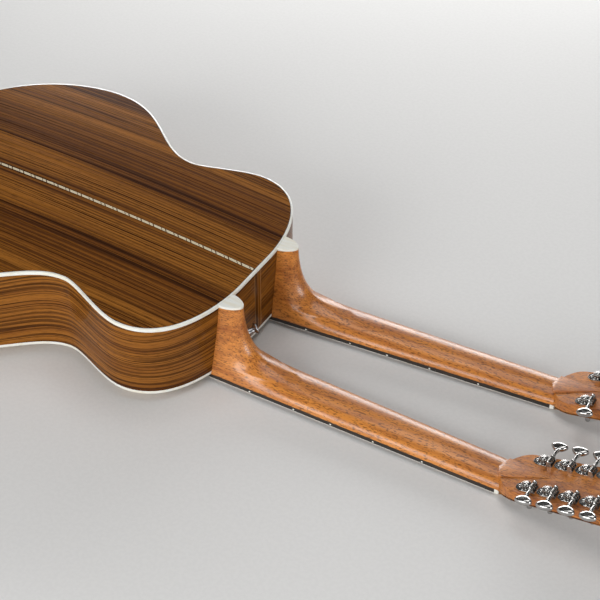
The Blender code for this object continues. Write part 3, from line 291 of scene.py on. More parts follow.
class Finish(Wiring):
    """A Principled material under construction. Numbers go on its sockets, and what varies is wired in."""

    def __init__(self, name, slot, **surface):
        self.material = bpy.data.materials.new(name)
        self.material.use_nodes = True
        self.material["slot"] = slot
        super().__init__(self.material.node_tree)
        self.shader = self.tree.nodes["Principled BSDF"]
        self.tones = bpy.context.scene.guitar_colours
        self.set(**surface)

    def set(self, **surface):
        for name, value in surface.items():
            self.fill(self.shader.inputs[name.replace("_", " ").title().replace("Ior", "IOR")], value)

    def place(self):
        """The three parts of the place on the object."""
        return self.parts("Object")

    def painted(self, relief=None, **varying):
        """The material, once what varies is wired in. Relief is (height, strength, distance)."""
        self.set(**varying)
        if relief:
            values = dict(zip(("Height", "Strength", "Distance"), relief))
            self.set(normal=self.node("ShaderNodeBump", None, values))
        return self.material


def mirrored(value):
    return value.math("ABSOLUTE")


def dimmed(tone, *shares):
    """A colour times one share, or times a share for each of its parts."""
    return [part * share for part, share in zip(tone, shares * 3 if len(shares) == 1 else shares)]


def rosewood(name, across_side):
    """Straight-grained rosewood under gloss lacquer, bookmatched on the back."""
    gloss = 0.20 if across_side else 0.25
    wood = Finish(name, "rosewood", coat_weight=gloss, coat_roughness=0.05, specular_ior_level=0.04)
    dark, mid, light = wood.tones.rosewood_dark, wood.tones.rosewood_mid, wood.tones.rosewood_light
    x, y, z = wood.place()
    sway = wood.grain((x, mirrored(y), z), (2.6,) * 3, 2.0)
    if across_side:
        across = z + sway * 0.034
        place = (x, y, across)
        rates = ((1.6, 1.6, 46.0), (3.0, 3.0, 160.0), (7.0, 7.0, 1000.0), (90.0, 90.0, 1700.0))
    else:
        across = mirrored(y) + sway * 0.009
        place = (x, across, 0.5)
        rates = ((0.8, 34.0, 1.0), (1.2, 160.0, 1.0), (3.5, 1000.0, 1.0), (90.0, 1700.0, 1.0))
    details = (1.5, 1.5, 2.0, 1.0)
    broad, narrow, hair, dash = (wood.grain(place, rate, detail) for rate, detail in zip(rates, details))
    shade = wood.ramp(broad * 0.60 + hair * 0.40, ((0.30, dark), (0.42, mid), (0.56, light)))
    phase = across * (2 * math.pi / LINE_PITCH) + narrow * 22.0
    depth = wood.step(narrow * 0.6 + hair * 0.6, 0.50, 0.72, 0.50, 0.95)
    lines = wood.step(phase.math("SINE") + hair * 3.0, 0.90, 2.50) * depth
    pores = wood.step(dash, 0.56, 0.66)
    return wood.painted(
        base_color=wood.blend(pores * 0.45, wood.blend(lines, shade, dark), dark),
        roughness=wood.step(hair, 0.3, 0.7, 0.34, 0.24),
        relief=(pores * -1.0, 0.08, 0.0001),
    )


def mahogany():
    """Open-pored mahogany under gloss lacquer: short dark flecks along the neck and a soft change of tone."""
    wood = Finish("mahogany", "mahogany", coat_weight=0.2, coat_roughness=0.10, specular_ior_level=0.50)
    dark, light = wood.tones.mahogany_dark, wood.tones.mahogany_light
    x, y, z = wood.place()
    sway = wood.grain((x, y, z), (5.0, 8.0, 8.0), 2.0) * 0.006
    place = (x, y + sway, z + sway)
    figure = wood.grain(place, (16.0, 240.0, 240.0), 3.0)
    tone = wood.grain(place, (3.5, 30.0, 30.0), 2.0)
    flecks = wood.step(wood.grain(place, (190.0, 760.0, 760.0), 1.0), 0.55, 0.64)
    mid = [(a + b) / 2 for a, b in zip(dark, light)]
    shade = wood.ramp(figure * 0.55 + tone * 0.45, ((0.36, dark), (0.49, mid), (0.62, light)))
    return wood.painted(
        base_color=wood.blend(flecks * 0.70, shade, dimmed(dark, 0.24)),
        roughness=wood.step(figure, 0.35, 0.65, 0.38, 0.28),
        relief=(flecks * -1.0, 0.14, 0.0001),
    )


def spruce():
    """Quarter-sawn spruce under gloss lacquer: close winter lines along the body, bookmatched."""
    wood = Finish("spruce", "spruce", roughness=0.35, coat_weight=1.0, coat_roughness=0.05)
    x, y = wood.place()[:2]
    sway = wood.grain((x, mirrored(y), 0.0), (1.5, 1.5, 1.0), 1.0)
    place = (x, mirrored(y) + sway * 0.010, 0.5)
    lines = wood.grain(place, (1.2, 620.0, 1.0), 1.0)
    silk = wood.grain(place, (90.0, 160.0, 1.0), 2.0)
    dark = dimmed(wood.tones.spruce, 0.70, 0.58, 0.46)
    shade = wood.blend(wood.step(lines, 0.50, 0.62, 0.0, 0.75), wood.tones.spruce, dark)
    shade = wood.blend(wood.step(silk, 0.55, 0.75, 0.0, 0.15), shade, (0.85, 0.65, 0.38))
    return wood.painted(base_color=shade, relief=(lines, 0.05, 0.0001))


def ebony():
    """Oiled ebony with faint brown streaks and fine pores."""
    wood = Finish("ebony", "ebony", specular_ior_level=0.45)
    place = wood.place()
    streaks = wood.grain(place, (6.0, 420.0, 420.0), 3.0)
    pores = wood.step(wood.grain(place, (160.0, 2200.0, 2200.0), 1.0), 0.62, 0.70)
    brown = [a + b for a, b in zip(wood.tones.ebony, (0.030, 0.014, 0.006))]
    return wood.painted(
        base_color=wood.blend(wood.step(streaks, 0.50, 0.72), wood.tones.ebony, brown),
        roughness=wood.step(streaks, 0.3, 0.7, 0.34, 0.46),
        relief=(pores * -1.0, 0.10, 0.0001),
    )


def ivoroid():
    """Cream celluloid, faintly clouded, with a polish that has a few soft scuffs."""
    cream = Finish("ivoroid", "ivory", specular_ior_level=0.5, coat_weight=0.6, coat_roughness=0.08)
    tone = cream.tones.ivory
    cloud = cream.grain(cream.place(), (30.0, 160.0, 160.0), 3.0)
    return cream.painted(
        base_color=cream.blend(cream.step(cloud, 0.42, 0.70), tone, dimmed(tone, 0.95, 0.90, 0.80)),
        roughness=cream.step(cloud, 0.3, 0.7, 0.26, 0.40),
    )


def plated(name, slot, tone, gloss):
    """Plated metal, polished, with a haze of handling that changes its gloss."""
    metal = Finish(name, slot, metallic=1.0)
    place = metal.place()
    haze, fine = (metal.grain(place, (rate,) * 3, detail) for rate, detail in ((90.0, 3.0), (900.0, 2.0)))
    return metal.painted(
        base_color=metal.blend(metal.step(haze, 0.45, 0.75), tone, dimmed(tone, 0.82)),
        roughness=metal.step(haze, 0.35, 0.75, gloss, gloss + 0.14),
        relief=(fine, 0.03, 0.00005),
    )


def wound_string():
    """Bronze winding on a steel core: a fine ridge for each turn along the string, and painted shade darkening the
    grooves between the turns.
    """
    metal = Finish("wound_string", "string_metal", metallic=1.0)
    place = metal.place()
    turns = (place[0] * (2 * math.pi / 0.0005)).math("SINE")
    # Painted shade: the colour is darkened in the grooves between the turns
    dark = metal.step(turns, -1.0, -0.2, 0.7, 0.0)
    return metal.painted(
        base_color=metal.blend(dark, metal.tones.bronze, dimmed(metal.tones.bronze, 0.35)),
        roughness=metal.step(metal.grain(place, (60.0,) * 3, 3.0), 0.3, 0.7, 0.24, 0.38),
        relief=(turns, 0.35, 0.00006),
    )


def marquetry():
    """The centre strip: long and short pale blocks in turn, in two rows with a thin brown line between."""
    gloss = {"roughness": 0.30, "coat_weight": 0.4, "coat_roughness": 0.05, "specular_ior_level": 0.2}
    inlay = Finish("marquetry", "ivory", **gloss)
    x, y = inlay.place()[:2]
    aside = mirrored(y)
    run = (x * (1.0 / BLOCK_PERIOD) + y * 55.0).math("FRACT")
    joint = inlay.step(mirrored(run - 0.33), 0.285, 0.300) * inlay.step(mirrored(run - 0.81), 0.120, 0.135)
    gap = joint.math("MAXIMUM", inlay.step(aside, 0.00016, 0.00026, 0.75, 0.0))
    grain = inlay.grain((x, y, 0.0), (40.0, 1800.0, 1.0), 2.0)
    pale = inlay.blend(inlay.step(grain, 0.4, 0.7), (0.800, 0.720, 0.520), (0.620, 0.500, 0.300))
    shade = inlay.blend(gap, pale, (0.090, 0.036, 0.010))
    shade = inlay.blend(inlay.step(aside, 0.00165, 0.00175), shade, (0.020, 0.008, 0.003))
    return inlay.painted(base_color=shade, relief=(grain, 0.04, 0.0001))


def mottled(name, slot, rates, detail, span, tones, relief=None, **surface):
    """A plain finish of two tones that one noise mixes, with its relief as (strength, distance)."""
    paint = Finish(name, slot, **surface)
    noise = paint.grain(paint.place(), rates, detail)
    tone = paint.blend(paint.step(noise, *span), *tones)
    return paint.painted(base_color=tone, relief=(noise, *relief) if relief else None)


FINISHES = {}


def make_finishes():
    """Every finish of the guitar, made once and shared by its pieces."""
    maple = {"roughness": 0.35, "coat_weight": 0.3, "coat_roughness": 0.06, "specular_ior_level": 0.2}
    lines = ((0.46, 0.27, 0.13), (0.34, 0.18, 0.08))
    wool = {"roughness": 0.95, "specular_ior_level": 0.2}
    fibres = ((0.012, 0.011, 0.011), (0.045, 0.042, 0.040))
    FINISHES.update(
        rosewood_back=rosewood("rosewood_back", False),
        rosewood_side=rosewood("rosewood_side", True),
        mahogany=mahogany(),
        spruce=spruce(),
        ebony=ebony(),
        ivoroid=ivoroid(),
        nickel=plated("nickel", "nickel", bpy.context.scene.guitar_colours.nickel, 0.12),
        fret_wire=plated("fret_wire", "steel", (0.66, 0.65, 0.62), 0.22),
        plain_string=plated("plain_string", "string_metal", (0.68, 0.67, 0.65), 0.18),
        steel=plated("steel", "steel", (0.33, 0.33, 0.34), 0.26),
        wound_string=wound_string(),
        marquetry=marquetry(),
        graft_line=mottled("graft_line", "ivory", (900.0, 900.0, 40.0), 2.0, (0.4, 0.6), lines, **maple),
        felt=mottled("felt", "ebony", (1600.0,) * 3, 3.0, (0.3, 0.7), fibres, (0.6, 0.0002), **wool),
    )


# The guitar's own frames
def body_frame():
    """The body's frame: z = 0 on the soundboard, x = 0 at the joint with the necks. The end pin fixes it."""
    sizes, mount = bpy.context.scene.guitar_body, MOUNTS["end_pin_face"]
    ahead, aside = -Vector(mount["axis"]), Vector((0.0, 1.0, 0.0))
    turn = Matrix((ahead, aside, ahead.cross(aside))).transposed()
    reach = Vector((sizes.tail_x - SEAM - BUTTON_LENGTH, 0.0, END_PIN_HEIGHT))
    return Matrix.Translation(Vector(mount["pos_m"]) - turn @ reach) @ turn.to_4x4()


def neck_frame(spec):
    """A neck's frame: x runs along the neck from the body joint, and z = 0 where board and neck are glued."""
    sizes = bpy.context.scene.guitar_neck
    return (
        body_frame()
        @ Matrix.Translation((0, spec["side"] * sizes.spacing / 2, 0))
        @ Matrix.Rotation(spec["side"] * sizes.fan, 4, "Z")
        @ Matrix.Rotation(-sizes.pitch, 4, "Y")
    )


def machine_places(key):
    """A head's machines, from the record's joints: (name, side, up, outward, post's place, key's place)."""
    places = []
    for row, side in (("bass", -1), ("treble", 1)):
        for count in range(1, NECKS[key]["machines"] + 1):
            post, knob = (JOINTS[f"{key}_{kind}_{row}_{count}_turn"] for kind in ("post", "key"))
            measures = (post["axis"], knob["axis"], post["pos_m"], knob["pos_m"])
            places.append((f"{row}_{count}", side, *map(Vector, measures)))
    return places


def head_on_neck():
    """The head's frame in its neck's: x runs along the head from the nut, and z = 0 on its back face."""
    sizes = bpy.context.scene.guitar_neck
    return Matrix.Translation((sizes.nut_x, 0, sizes.head_back)) @ Matrix.Rotation(-sizes.head_tilt, 4, "Y")


def head_frame(key):
    return neck_frame(NECKS[key]) @ head_on_neck()


def head_face():
    """Height of the face veneer's outer side in the head's frame."""
    sizes = bpy.context.scene.guitar_neck
    return -sizes.head_wood - SEAM - sizes.headplate


def upright(x, y, z, place):
    """The frame at a place whose axes are three given directions."""
    return Matrix.Translation(place) @ Matrix((x, y, z)).transposed().to_4x4()


# Mesh building
def tidied(build):
    bmesh.ops.remove_doubles(build, verts=build.verts, dist=1e-7)
    bmesh.ops.dissolve_degenerate(build, edges=build.edges, dist=1e-7)
    bmesh.ops.recalc_face_normals(build, faces=build.faces)
    return build


def loft(rings, wrap=False):
    """A closed bmesh through rings of equal point counts."""
    build = bmesh.new()
    rows = [[build.verts.new(point) for point in ring] for ring in rings]
    count = len(rows[0])
    for i in range(len(rows) if wrap else len(rows) - 1):
        near, far = rows[i], rows[(i + 1) % len(rows)]
        for j in range(count):
            k = (j + 1) % count
            build.faces.new((near[j], near[k], far[k], far[j]))
    if not wrap:
        build.faces.new(rows[0])
        build.faces.new(rows[-1])
    return tidied(build)


def prism(points, low, high, bevel=0.0):
    """A flat outline of (x, y) points carried from one height to another, its edges eased by the bevel."""
    if not bevel:
        return loft([[(x, y, z) for x, y in points] for z in (low, high)])
    inner = shrunk(points, bevel)
    levels = ((inner, low), (points, low + bevel), (points, high - bevel), (inner, high))
    return loft([[(x, y, z) for x, y in line] for line, z in levels])


def shrunk(points, distance):
    """A closed outline of (x, y) points, listed anticlockwise, moved inwards by a distance."""
    line = [Vector(point) for point in points]
    moved = []
    for i, point in enumerate(line):
        before = (point - line[i - 1]).normalized()
        after = (line[(i + 1) % len(line)] - point).normalized()
        along = (before + after).normalized()
        inward = Vector((-along.y, along.x))
        moved.append(tuple(point + inward * distance / max(along.dot(before), 0.6)))
    return moved


def both_sides(side):
    """A closed outline from the (across, height) points of one side."""
    return [*side, *((-across, height) for across, height in reversed(side))]


def box(low, high, bevel=0.0):
    corners = [(low[0], low[1]), (high[0], low[1]), (high[0], high[1]), (low[0], high[1])]
    return prism(corners, low[2], high[2], bevel)


def circle(count):
    """The cosine and sine of each of count even turns."""
    return [(math.cos(2 * math.pi * i / count), math.sin(2 * math.pi * i / count)) for i in range(count)]


def turned(profile, facets, axis="Z"):
    """A turned bmesh from (radius, distance along the axis) pairs."""
    order = {"X": (2, 0, 1), "Y": (1, 2, 0), "Z": (0, 1, 2)}[axis]
    rings = [[(radius * c, radius * s, along) for c, s in circle(facets)] for radius, along in profile]
    return loft([[[point[k] for k in order] for point in ring] for ring in rings])


def hoop(corners, count):
    """A closed ring about the Z axis from the (radius, height) corners of its section."""
    return loft([[(r * c, r * s, z) for r, z in corners] for c, s in circle(count)], wrap=True)


def tube(points, radius, facets):
    """A round bar along a line of points."""
    rings, guide = [], Vector((0.0, 0.0, 1.0))
    for i, point in enumerate(points):
        ahead = (points[min(i + 1, len(points) - 1)] - points[max(i - 1, 0)]).normalized()
        aside = ahead.cross(guide).normalized()
        guide = aside.cross(ahead).normalized()
        rings.append([point + (aside * c + guide * s) * radius for c, s in circle(facets)])
    return loft(rings)


def gathered(builds):
    """Several bmeshes in one."""
    whole = bmesh.new()
    for build in builds:
        mesh = bpy.data.meshes.new("part")
        build.to_mesh(mesh)
        build.free()
        whole.from_mesh(mesh)
        bpy.data.meshes.remove(mesh)
    return whole


def placed(build, matrix):
    build.transform(matrix)
    return build


def stand_in(name, build):
    """A bare object on a bmesh, for a Boolean or as the pattern of a Geometry Nodes tree."""
    mesh = bpy.data.meshes.new(name)
    build.to_mesh(mesh)
    build.free()
    obj = bpy.data.objects.new(name, mesh)
    bpy.context.scene.collection.objects.link(obj)
    return obj


def discard(*objects):
    for obj in objects:
        mesh = obj.data
        bpy.data.objects.remove(obj, do_unlink=True)
        bpy.data.meshes.remove(mesh)


def combined(base, tool, operation):
    """Two closed bmeshes joined, or the second cut from the first."""
    first, second = stand_in("base", base), stand_in("tool", tool)
    modifier = first.modifiers.new("combine", "BOOLEAN")
    modifier.operation, modifier.object, modifier.solver = operation, second, "EXACT"
    result = bmesh.new()
    result.from_object(first, bpy.context.evaluated_depsgraph_get())
    discard(first, second)
    return result


def piece(name, build, finish, matrix=None, body="guitar", stands_for=(), sharp=32.0):
    """A finished piece: in place, smooth up to its sharp edges, riding on its body in its own finish."""
    if matrix:
        build.transform(matrix)
    bmesh.ops.recalc_face_normals(build, faces=build.faces)
    limit = math.radians(sharp)
    for face in build.faces:
        face.smooth = True
    for edge in build.edges:
        edge.smooth = len(edge.link_faces) == 2 and edge.calc_face_angle(0.0) < limit
    obj, material = stand_in(name, build), FINISHES[finish]
    obj.data.materials.append(material)
    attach(obj, body)
    if stands_for:
        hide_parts(*stands_for)
    return obj


def dress(node, finish):
    """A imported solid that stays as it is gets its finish."""
    obj = frame["nodes"][node]
    if not obj.material_slots:
        obj.data.materials.append(None)
    for place in obj.material_slots:
        place.link = "OBJECT"
        place.material = FINISHES[finish]


# Geometry Nodes trees
def add_node(tree, kind, settings=None, links=None):
    """Adds a node, makes its settings, then fills its sockets with values or links."""
    node = tree.nodes.new(kind)
    for key, value in (settings or {}).items():
        setattr(node, key, value)
    for key, source in (links or {}).items():
        if hasattr(source, "is_output"):
            tree.links.new(source, node.inputs[key])
        else:
            node.inputs[key].default_value = source
    return node


def pattern_tree(name, along_path=False):
    """Sets a pattern on each point, turned and sized by it, or at even steps along a path, facing ahead."""
    tree = bpy.data.node_groups.new(name, "GeometryNodeTree")
    sockets = {"Geometry": "Geometry", "Pattern": "Object", "Spacing": "Float", "Finish": "Material"}
    for title, kind in sockets.items():
        if title != "Spacing" or along_path:
            tree.interface.new_socket(title, in_out="INPUT", socket_type=f"NodeSocket{kind}")
    tree.interface.new_socket("Geometry", in_out="OUTPUT", socket_type="NodeSocketGeometry")
    given = tree.nodes.new("NodeGroupInput").outputs
    space = {"transform_space": "RELATIVE"}
    shape = add_node(tree, "GeometryNodeObjectInfo", space, {"Object": given["Pattern"]})
    put = add_node(tree, "GeometryNodeInstanceOnPoints", None, {"Instance": shape.outputs["Geometry"]})
    if along_path:
        path = add_node(tree, "GeometryNodeMeshToCurve", None, {"Mesh": given["Geometry"]})
        even = {"Curve": path.outputs["Curve"], "Length": given["Spacing"]}
        points = add_node(tree, "GeometryNodeResampleCurve", {"mode": "LENGTH"}, even).outputs["Curve"]
        ahead = tree.nodes.new("GeometryNodeInputTangent").outputs["Tangent"]
        axes = {"primary_axis": "X", "secondary_axis": "Z"}
        spin = add_node(tree, "FunctionNodeAxesToRotation", axes, {0: ahead, 1: (0.0, 0.0, 1.0)})
    else:
        points, kind = given["Geometry"], "GeometryNodeInputNamedAttribute"
        vector = {"data_type": "FLOAT_VECTOR"}
        nodes = (add_node(tree, kind, vector, {"Name": key}) for key in ("turn", "size"))
        turn, size = (node.outputs["Attribute"] for node in nodes)
        spin = add_node(tree, "FunctionNodeEulerToRotation", None, {0: turn})
        tree.links.new(size, put.inputs["Scale"])
    tree.links.new(points, put.inputs["Points"])
    tree.links.new(spin.outputs[0], put.inputs["Rotation"])
    real = add_node(tree, "GeometryNodeRealizeInstances", None, {"Geometry": put.outputs["Instances"]})
    links = {"Geometry": real.outputs[0], "Material": given["Finish"]}
    painted = add_node(tree, "GeometryNodeSetMaterial", None, links)
    add_node(tree, "NodeGroupOutput", None, {0: painted.outputs[0]})
    return tree


def grown(name, base, tree, pattern, finish, matrix, **values):
    """The plain mesh that a tree makes of a pattern on a mesh of points or edges, as a finished piece."""
    values = {"Pattern": stand_in("pattern", pattern), "Finish": FINISHES[finish], **values}
    holder = bpy.data.objects.new("holder", base)
    bpy.context.scene.collection.objects.link(holder)
    modifier = holder.modifiers.new("pattern", "NODES")
    modifier.node_group = tree
    sockets = {item.name: item.identifier for item in tree.interface.items_tree if item.in_out == "INPUT"}
    for title, value in values.items():
        modifier[sockets[title]] = value
    mesh = bpy.data.meshes.new_from_object(holder.evaluated_get(bpy.context.evaluated_depsgraph_get()))
    holder.modifiers.remove(modifier)
    build = bmesh.new()
    build.from_mesh(mesh)
    bpy.data.meshes.remove(mesh)
    discard(holder, values["Pattern"])
    return piece(name, build, finish, matrix)


def points_mesh(places):
    """Points for a pattern: each (place, turn, size)."""
    mesh = bpy.data.meshes.new("places")
    mesh.from_pydata([place for place, _, _ in places], [], [])
    for key, index in (("turn", 1), ("size", 2)):
        attribute = mesh.attributes.new(key, "FLOAT_VECTOR", "POINT")
        for spot, value in zip(attribute.data, places):
            spot.vector = value[index]
    return mesh


def path_mesh(points):
    """A closed line of edges through the points."""
    mesh = bpy.data.meshes.new("path")
    mesh.from_pydata(points, [(i, (i + 1) % len(points)) for i in range(len(points))], [])
    return mesh


# The body
class BodyShape:
    """The body's outline and arch, worked out from its sizes."""

    PULLS = (0.0400, 0.0690, 0.0280, 0.0190, 0.0540, 0.0820, 0.0680, 0.1650)

    def __init__(self, steps=(26, 14, 22, 34)):
        self.sizes = sizes = bpy.context.scene.guitar_body
        ahead, aside = Vector((1, 0)), Vector((0, 1))
        front = Vector((sizes.front_x, sizes.front_flat))
        upper = Vector((sizes.upper_x, sizes.upper_half))
        waist = Vector((sizes.waist_x, sizes.waist_half))
        lower = Vector((sizes.lower_x, sizes.lower_half))
        tail = Vector((sizes.tail_x, 0))
        pull = self.PULLS
        half = [Vector((sizes.front_x, front.y * i / 6)) for i in range(6)]
        half += bezier(front, front + aside * pull[0], upper + ahead * pull[1], upper, steps[0])
        half += bezier(upper, upper - ahead * pull[2], waist + ahead * pull[3], waist, steps[1])
        half += bezier(waist, waist - ahead * pull[4], lower + ahead * pull[5], lower, steps[2])
        half += bezier(lower, lower - ahead * pull[6], tail + aside * pull[7], tail, steps[3])
        self.line = half + [tail] + [Vector((p.x, -p.y)) for p in reversed(half[1:])]

    def inset(self, distance):
        return [Vector(p) for p in shrunk(self.line, distance)]

    def height(self, x, y):
        """Height of the back's outer face above the soundboard's outer face."""
        sizes = self.sizes
        arch = sizes.arch_reach**2 - (x - sizes.arch_x) ** 2 - y * y
        return sizes.depth - sizes.depth_growth * x + arch / (2 * sizes.arch_radius)

    def rim(self, corners, *from_back):
        """A ring round the body from its section's (inset, height) corners, from the front or the back."""
        flags = from_back * len(corners) if len(from_back) == 1 else from_back
        columns = [self.inset(inset) for inset, _ in corners]
        rings = []
        for points in zip(*columns):
            bases = [self.height(p.x, p.y) if back else 0.0 for p, back in zip(points, flags)]
            rings.append([(p.x, p.y, z + base) for p, (_, z), base in zip(points, corners, bases)])
        return loft(rings, wrap=True)

    def room(self, high):
        """The space that the body takes, to cut from what meets it."""
        return placed(prism(self.inset(-PROUD), -0.0001, high), body_frame())


def bezier(a, b, c, d, steps):
    points = []
    for i in range(steps):
        t = i / steps
        s = 1 - t
        points.append(s**3 * a + 3 * s * s * t * b + 3 * s * t * t * c + t**3 * d)
    return points


class GUITAR_OT_back(Operator):
    """Arched back in two bookmatched halves, with its braces, edge purfling and centre strip"""

    bl_idname = "guitar.back"
    bl_label = "Back"

    BRACE_HALF, BRACE_HEIGHT, BRACE_SHORT = 0.0045, 0.012, 0.0128
    STRIP_HALF, STRIP_DEPTH, STRIP_SHORT = 0.0020, 0.0008, 0.0036
    PURFLING_DEPTH = 0.0018

    def execute(self, context):
        body, sizes, place = BodyShape(), context.scene.guitar_body, body_frame()
        edge = body.inset(sizes.binding + BACK_PURFLING)
        centre = Vector((sizes.arch_x, 0))
        shares = [0.01] + [i / 14 for i in range(1, 14)] + [0.985, 1.0]
        rings = []
        for drop, order in ((PROUD, shares), (sizes.plate, reversed(shares))):
            for share in order:
                spots = [centre + (p - centre) * share for p in edge]
                rings.append([(p.x, p.y, body.height(p.x, p.y) - drop) for p in spots])
        piece("back_plate_veneer", loft(rings), "rosewood_back", place, stands_for=["back_plate"])
        braces = [self.brace(body, x) for x in BACK_BRACES]
        piece("back_braces", gathered(braces), "spruce", place)
        self.purfle(body, sizes, place)
        self.strip(body, sizes, place)
        return {"FINISHED"}

    def brace(self, body, x):
        """A ladder brace under the back, rounded along its crown and scooped at its ends."""
        reach = max(p.y for p in body.inset(self.BRACE_SHORT) if abs(p.x - x) < 0.006)
        half, rings = self.BRACE_HALF, []
        for i in range(25):
            share = -1 + i / 12
            y = share * reach
            top = body.height(x, y) - body.sizes.plate
            drop = self.BRACE_HEIGHT * min(1.0, 0.25 + (1 - abs(share)) * 5.0)
            side = ((half, 0.0), (half, drop * 0.55), (half * 0.45, drop))
            rings.append([(x - across, y, top - z) for across, z in both_sides(side)])
        return loft(rings)

    def purfle(self, body, sizes, place):
        """A fine dark line let into the back beside the binding."""
        near, far = sizes.binding, sizes.binding + BACK_PURFLING
        high, low = -PROUD / 2, -self.PURFLING_DEPTH
        corners = ((near, high), (far, high), (far, low), (near, low))
        piece("back_purfling", body.rim(corners, True), "ebony", place)

    def strip(self, body, sizes, place):
        """The inlaid strip that covers the centre joint of the back."""
        half, rings = self.STRIP_HALF, []
        start, end = sizes.tail_x + self.STRIP_SHORT, sizes.front_x - self.STRIP_SHORT
        for i in range(61):
            x = start + (end - start) * i / 60
            top = body.height(x, 0) - PROUD / 2
            low = top - self.STRIP_DEPTH
            rings.append([(x, -half, low), (x, half, low), (x, half, top), (x, -half, top)])
        piece("back_centre_strip", loft(rings), "marquetry", place)


class GUITAR_OT_sides(Operator):
    """Bent sides with their kerfed linings, the graft between the necks and the end graft"""

    bl_idname = "guitar.sides"
    bl_label = "Sides"

    LINING_DEPTH, LINING_HEIGHT, LINING_STEP = 0.0062, 0.0125, 0.0052
    GRAFT_DEPTH, GRAFT_LINE_HALF = 0.0008, 0.0002

    def execute(self, context):
        body, sizes, place = BodyShape(), context.scene.guitar_body, body_frame()
        low, high = sizes.top_binding_height, -sizes.back_binding_height
        corners = ((0.0, low), (sizes.wall, low), (sizes.wall, high), (0.0, high))
        sides = body.rim(corners, False, False, True, True)
        piece("bent_sides", sides, "rosewood_side", place, stands_for=["sides"])
        self.linings(body, sizes, place)
        self.grafts(body, sizes, place)
        dress("neck_block", "mahogany")
        dress("tail_block", "mahogany")
        return {"FINISHED"}

    def linings(self, body, sizes, place):
        """A row of kerfed blocks along each edge, inside the sides."""
        tree = pattern_tree("pattern_along_path", along_path=True)
        depth, tall, step = self.LINING_DEPTH, self.LINING_HEIGHT, self.LINING_STEP
        path = body.inset(sizes.wall + depth / 2 + 0.0001)
        middle = sizes.plate + tall / 2
        for name, lean in (("top", 0.30), ("back", -0.30)):
            line = [(p.x, p.y, body.height(p.x, p.y) - middle if lean < 0 else middle) for p in path]
            block = box((-step * 0.42, -depth / 2, -tall / 2), (step * 0.42, depth / 2, tall / 2))
            for vertex in block.verts:
                if vertex.co.y > 0 and vertex.co.z * lean > 0:
                    vertex.co.y -= depth * 0.62
            grown(f"{name}_linings", path_mesh(line), tree, block, "mahogany", place, Spacing=step)

    def grafts(self, body, sizes, place):
        """Upright strips let into the sides, edged with pale lines."""
        edge = self.GRAFT_LINE_HALF
        for name, x, outward, middle, half in (
            ("neck", sizes.front_x, 1, 0.0035, 0.0064),
            ("tail", sizes.tail_x, -1, 0.0, 0.0075),
        ):
            low = sizes.top_binding_height
            high = body.height(x, 0) - sizes.back_binding_height
            skin = sorted((x - outward * self.GRAFT_DEPTH, x + outward * PROUD * (1 if outward > 0 else 0.5)))
            lines = []
            for side in (-1, 1):
                y = middle + side * half
                lines.append(box((skin[0], y - edge, low), (skin[1], y + edge, high)))
            piece(f"{name}_graft_lines", gathered(lines), "graft_line", place)
            low_corner = (skin[0], middle - half + edge, low)
            panel = box(low_corner, (skin[1] - PROUD / 4, middle + half - edge, high))
            piece(f"{name}_graft", panel, "rosewood_back", place)


class GUITAR_OT_bindings(Operator):
    """Cream binding round the back and round the soundboard"""

    bl_idname = "guitar.bindings"
    bl_label = "Bindings"

    def execute(self, context):
        body, sizes, place = BodyShape(), context.scene.guitar_body, body_frame()
        width, ease = sizes.binding, 0.0007
        for name, tall in (("back", -sizes.back_binding_height), ("top", sizes.top_binding_height)):
            round_off = math.copysign(ease, tall)
            outer = ((ease, 0.0), (ease * 0.3, round_off * 0.3), (0.0, round_off), (0.0, tall))
            ring = body.rim(((width, 0.0), *outer, (width, tall)), name == "back")
            piece(f"{name}_edge_binding", ring, "ivoroid", place, stands_for=[f"{name}_binding"])
        return {"FINISHED"}


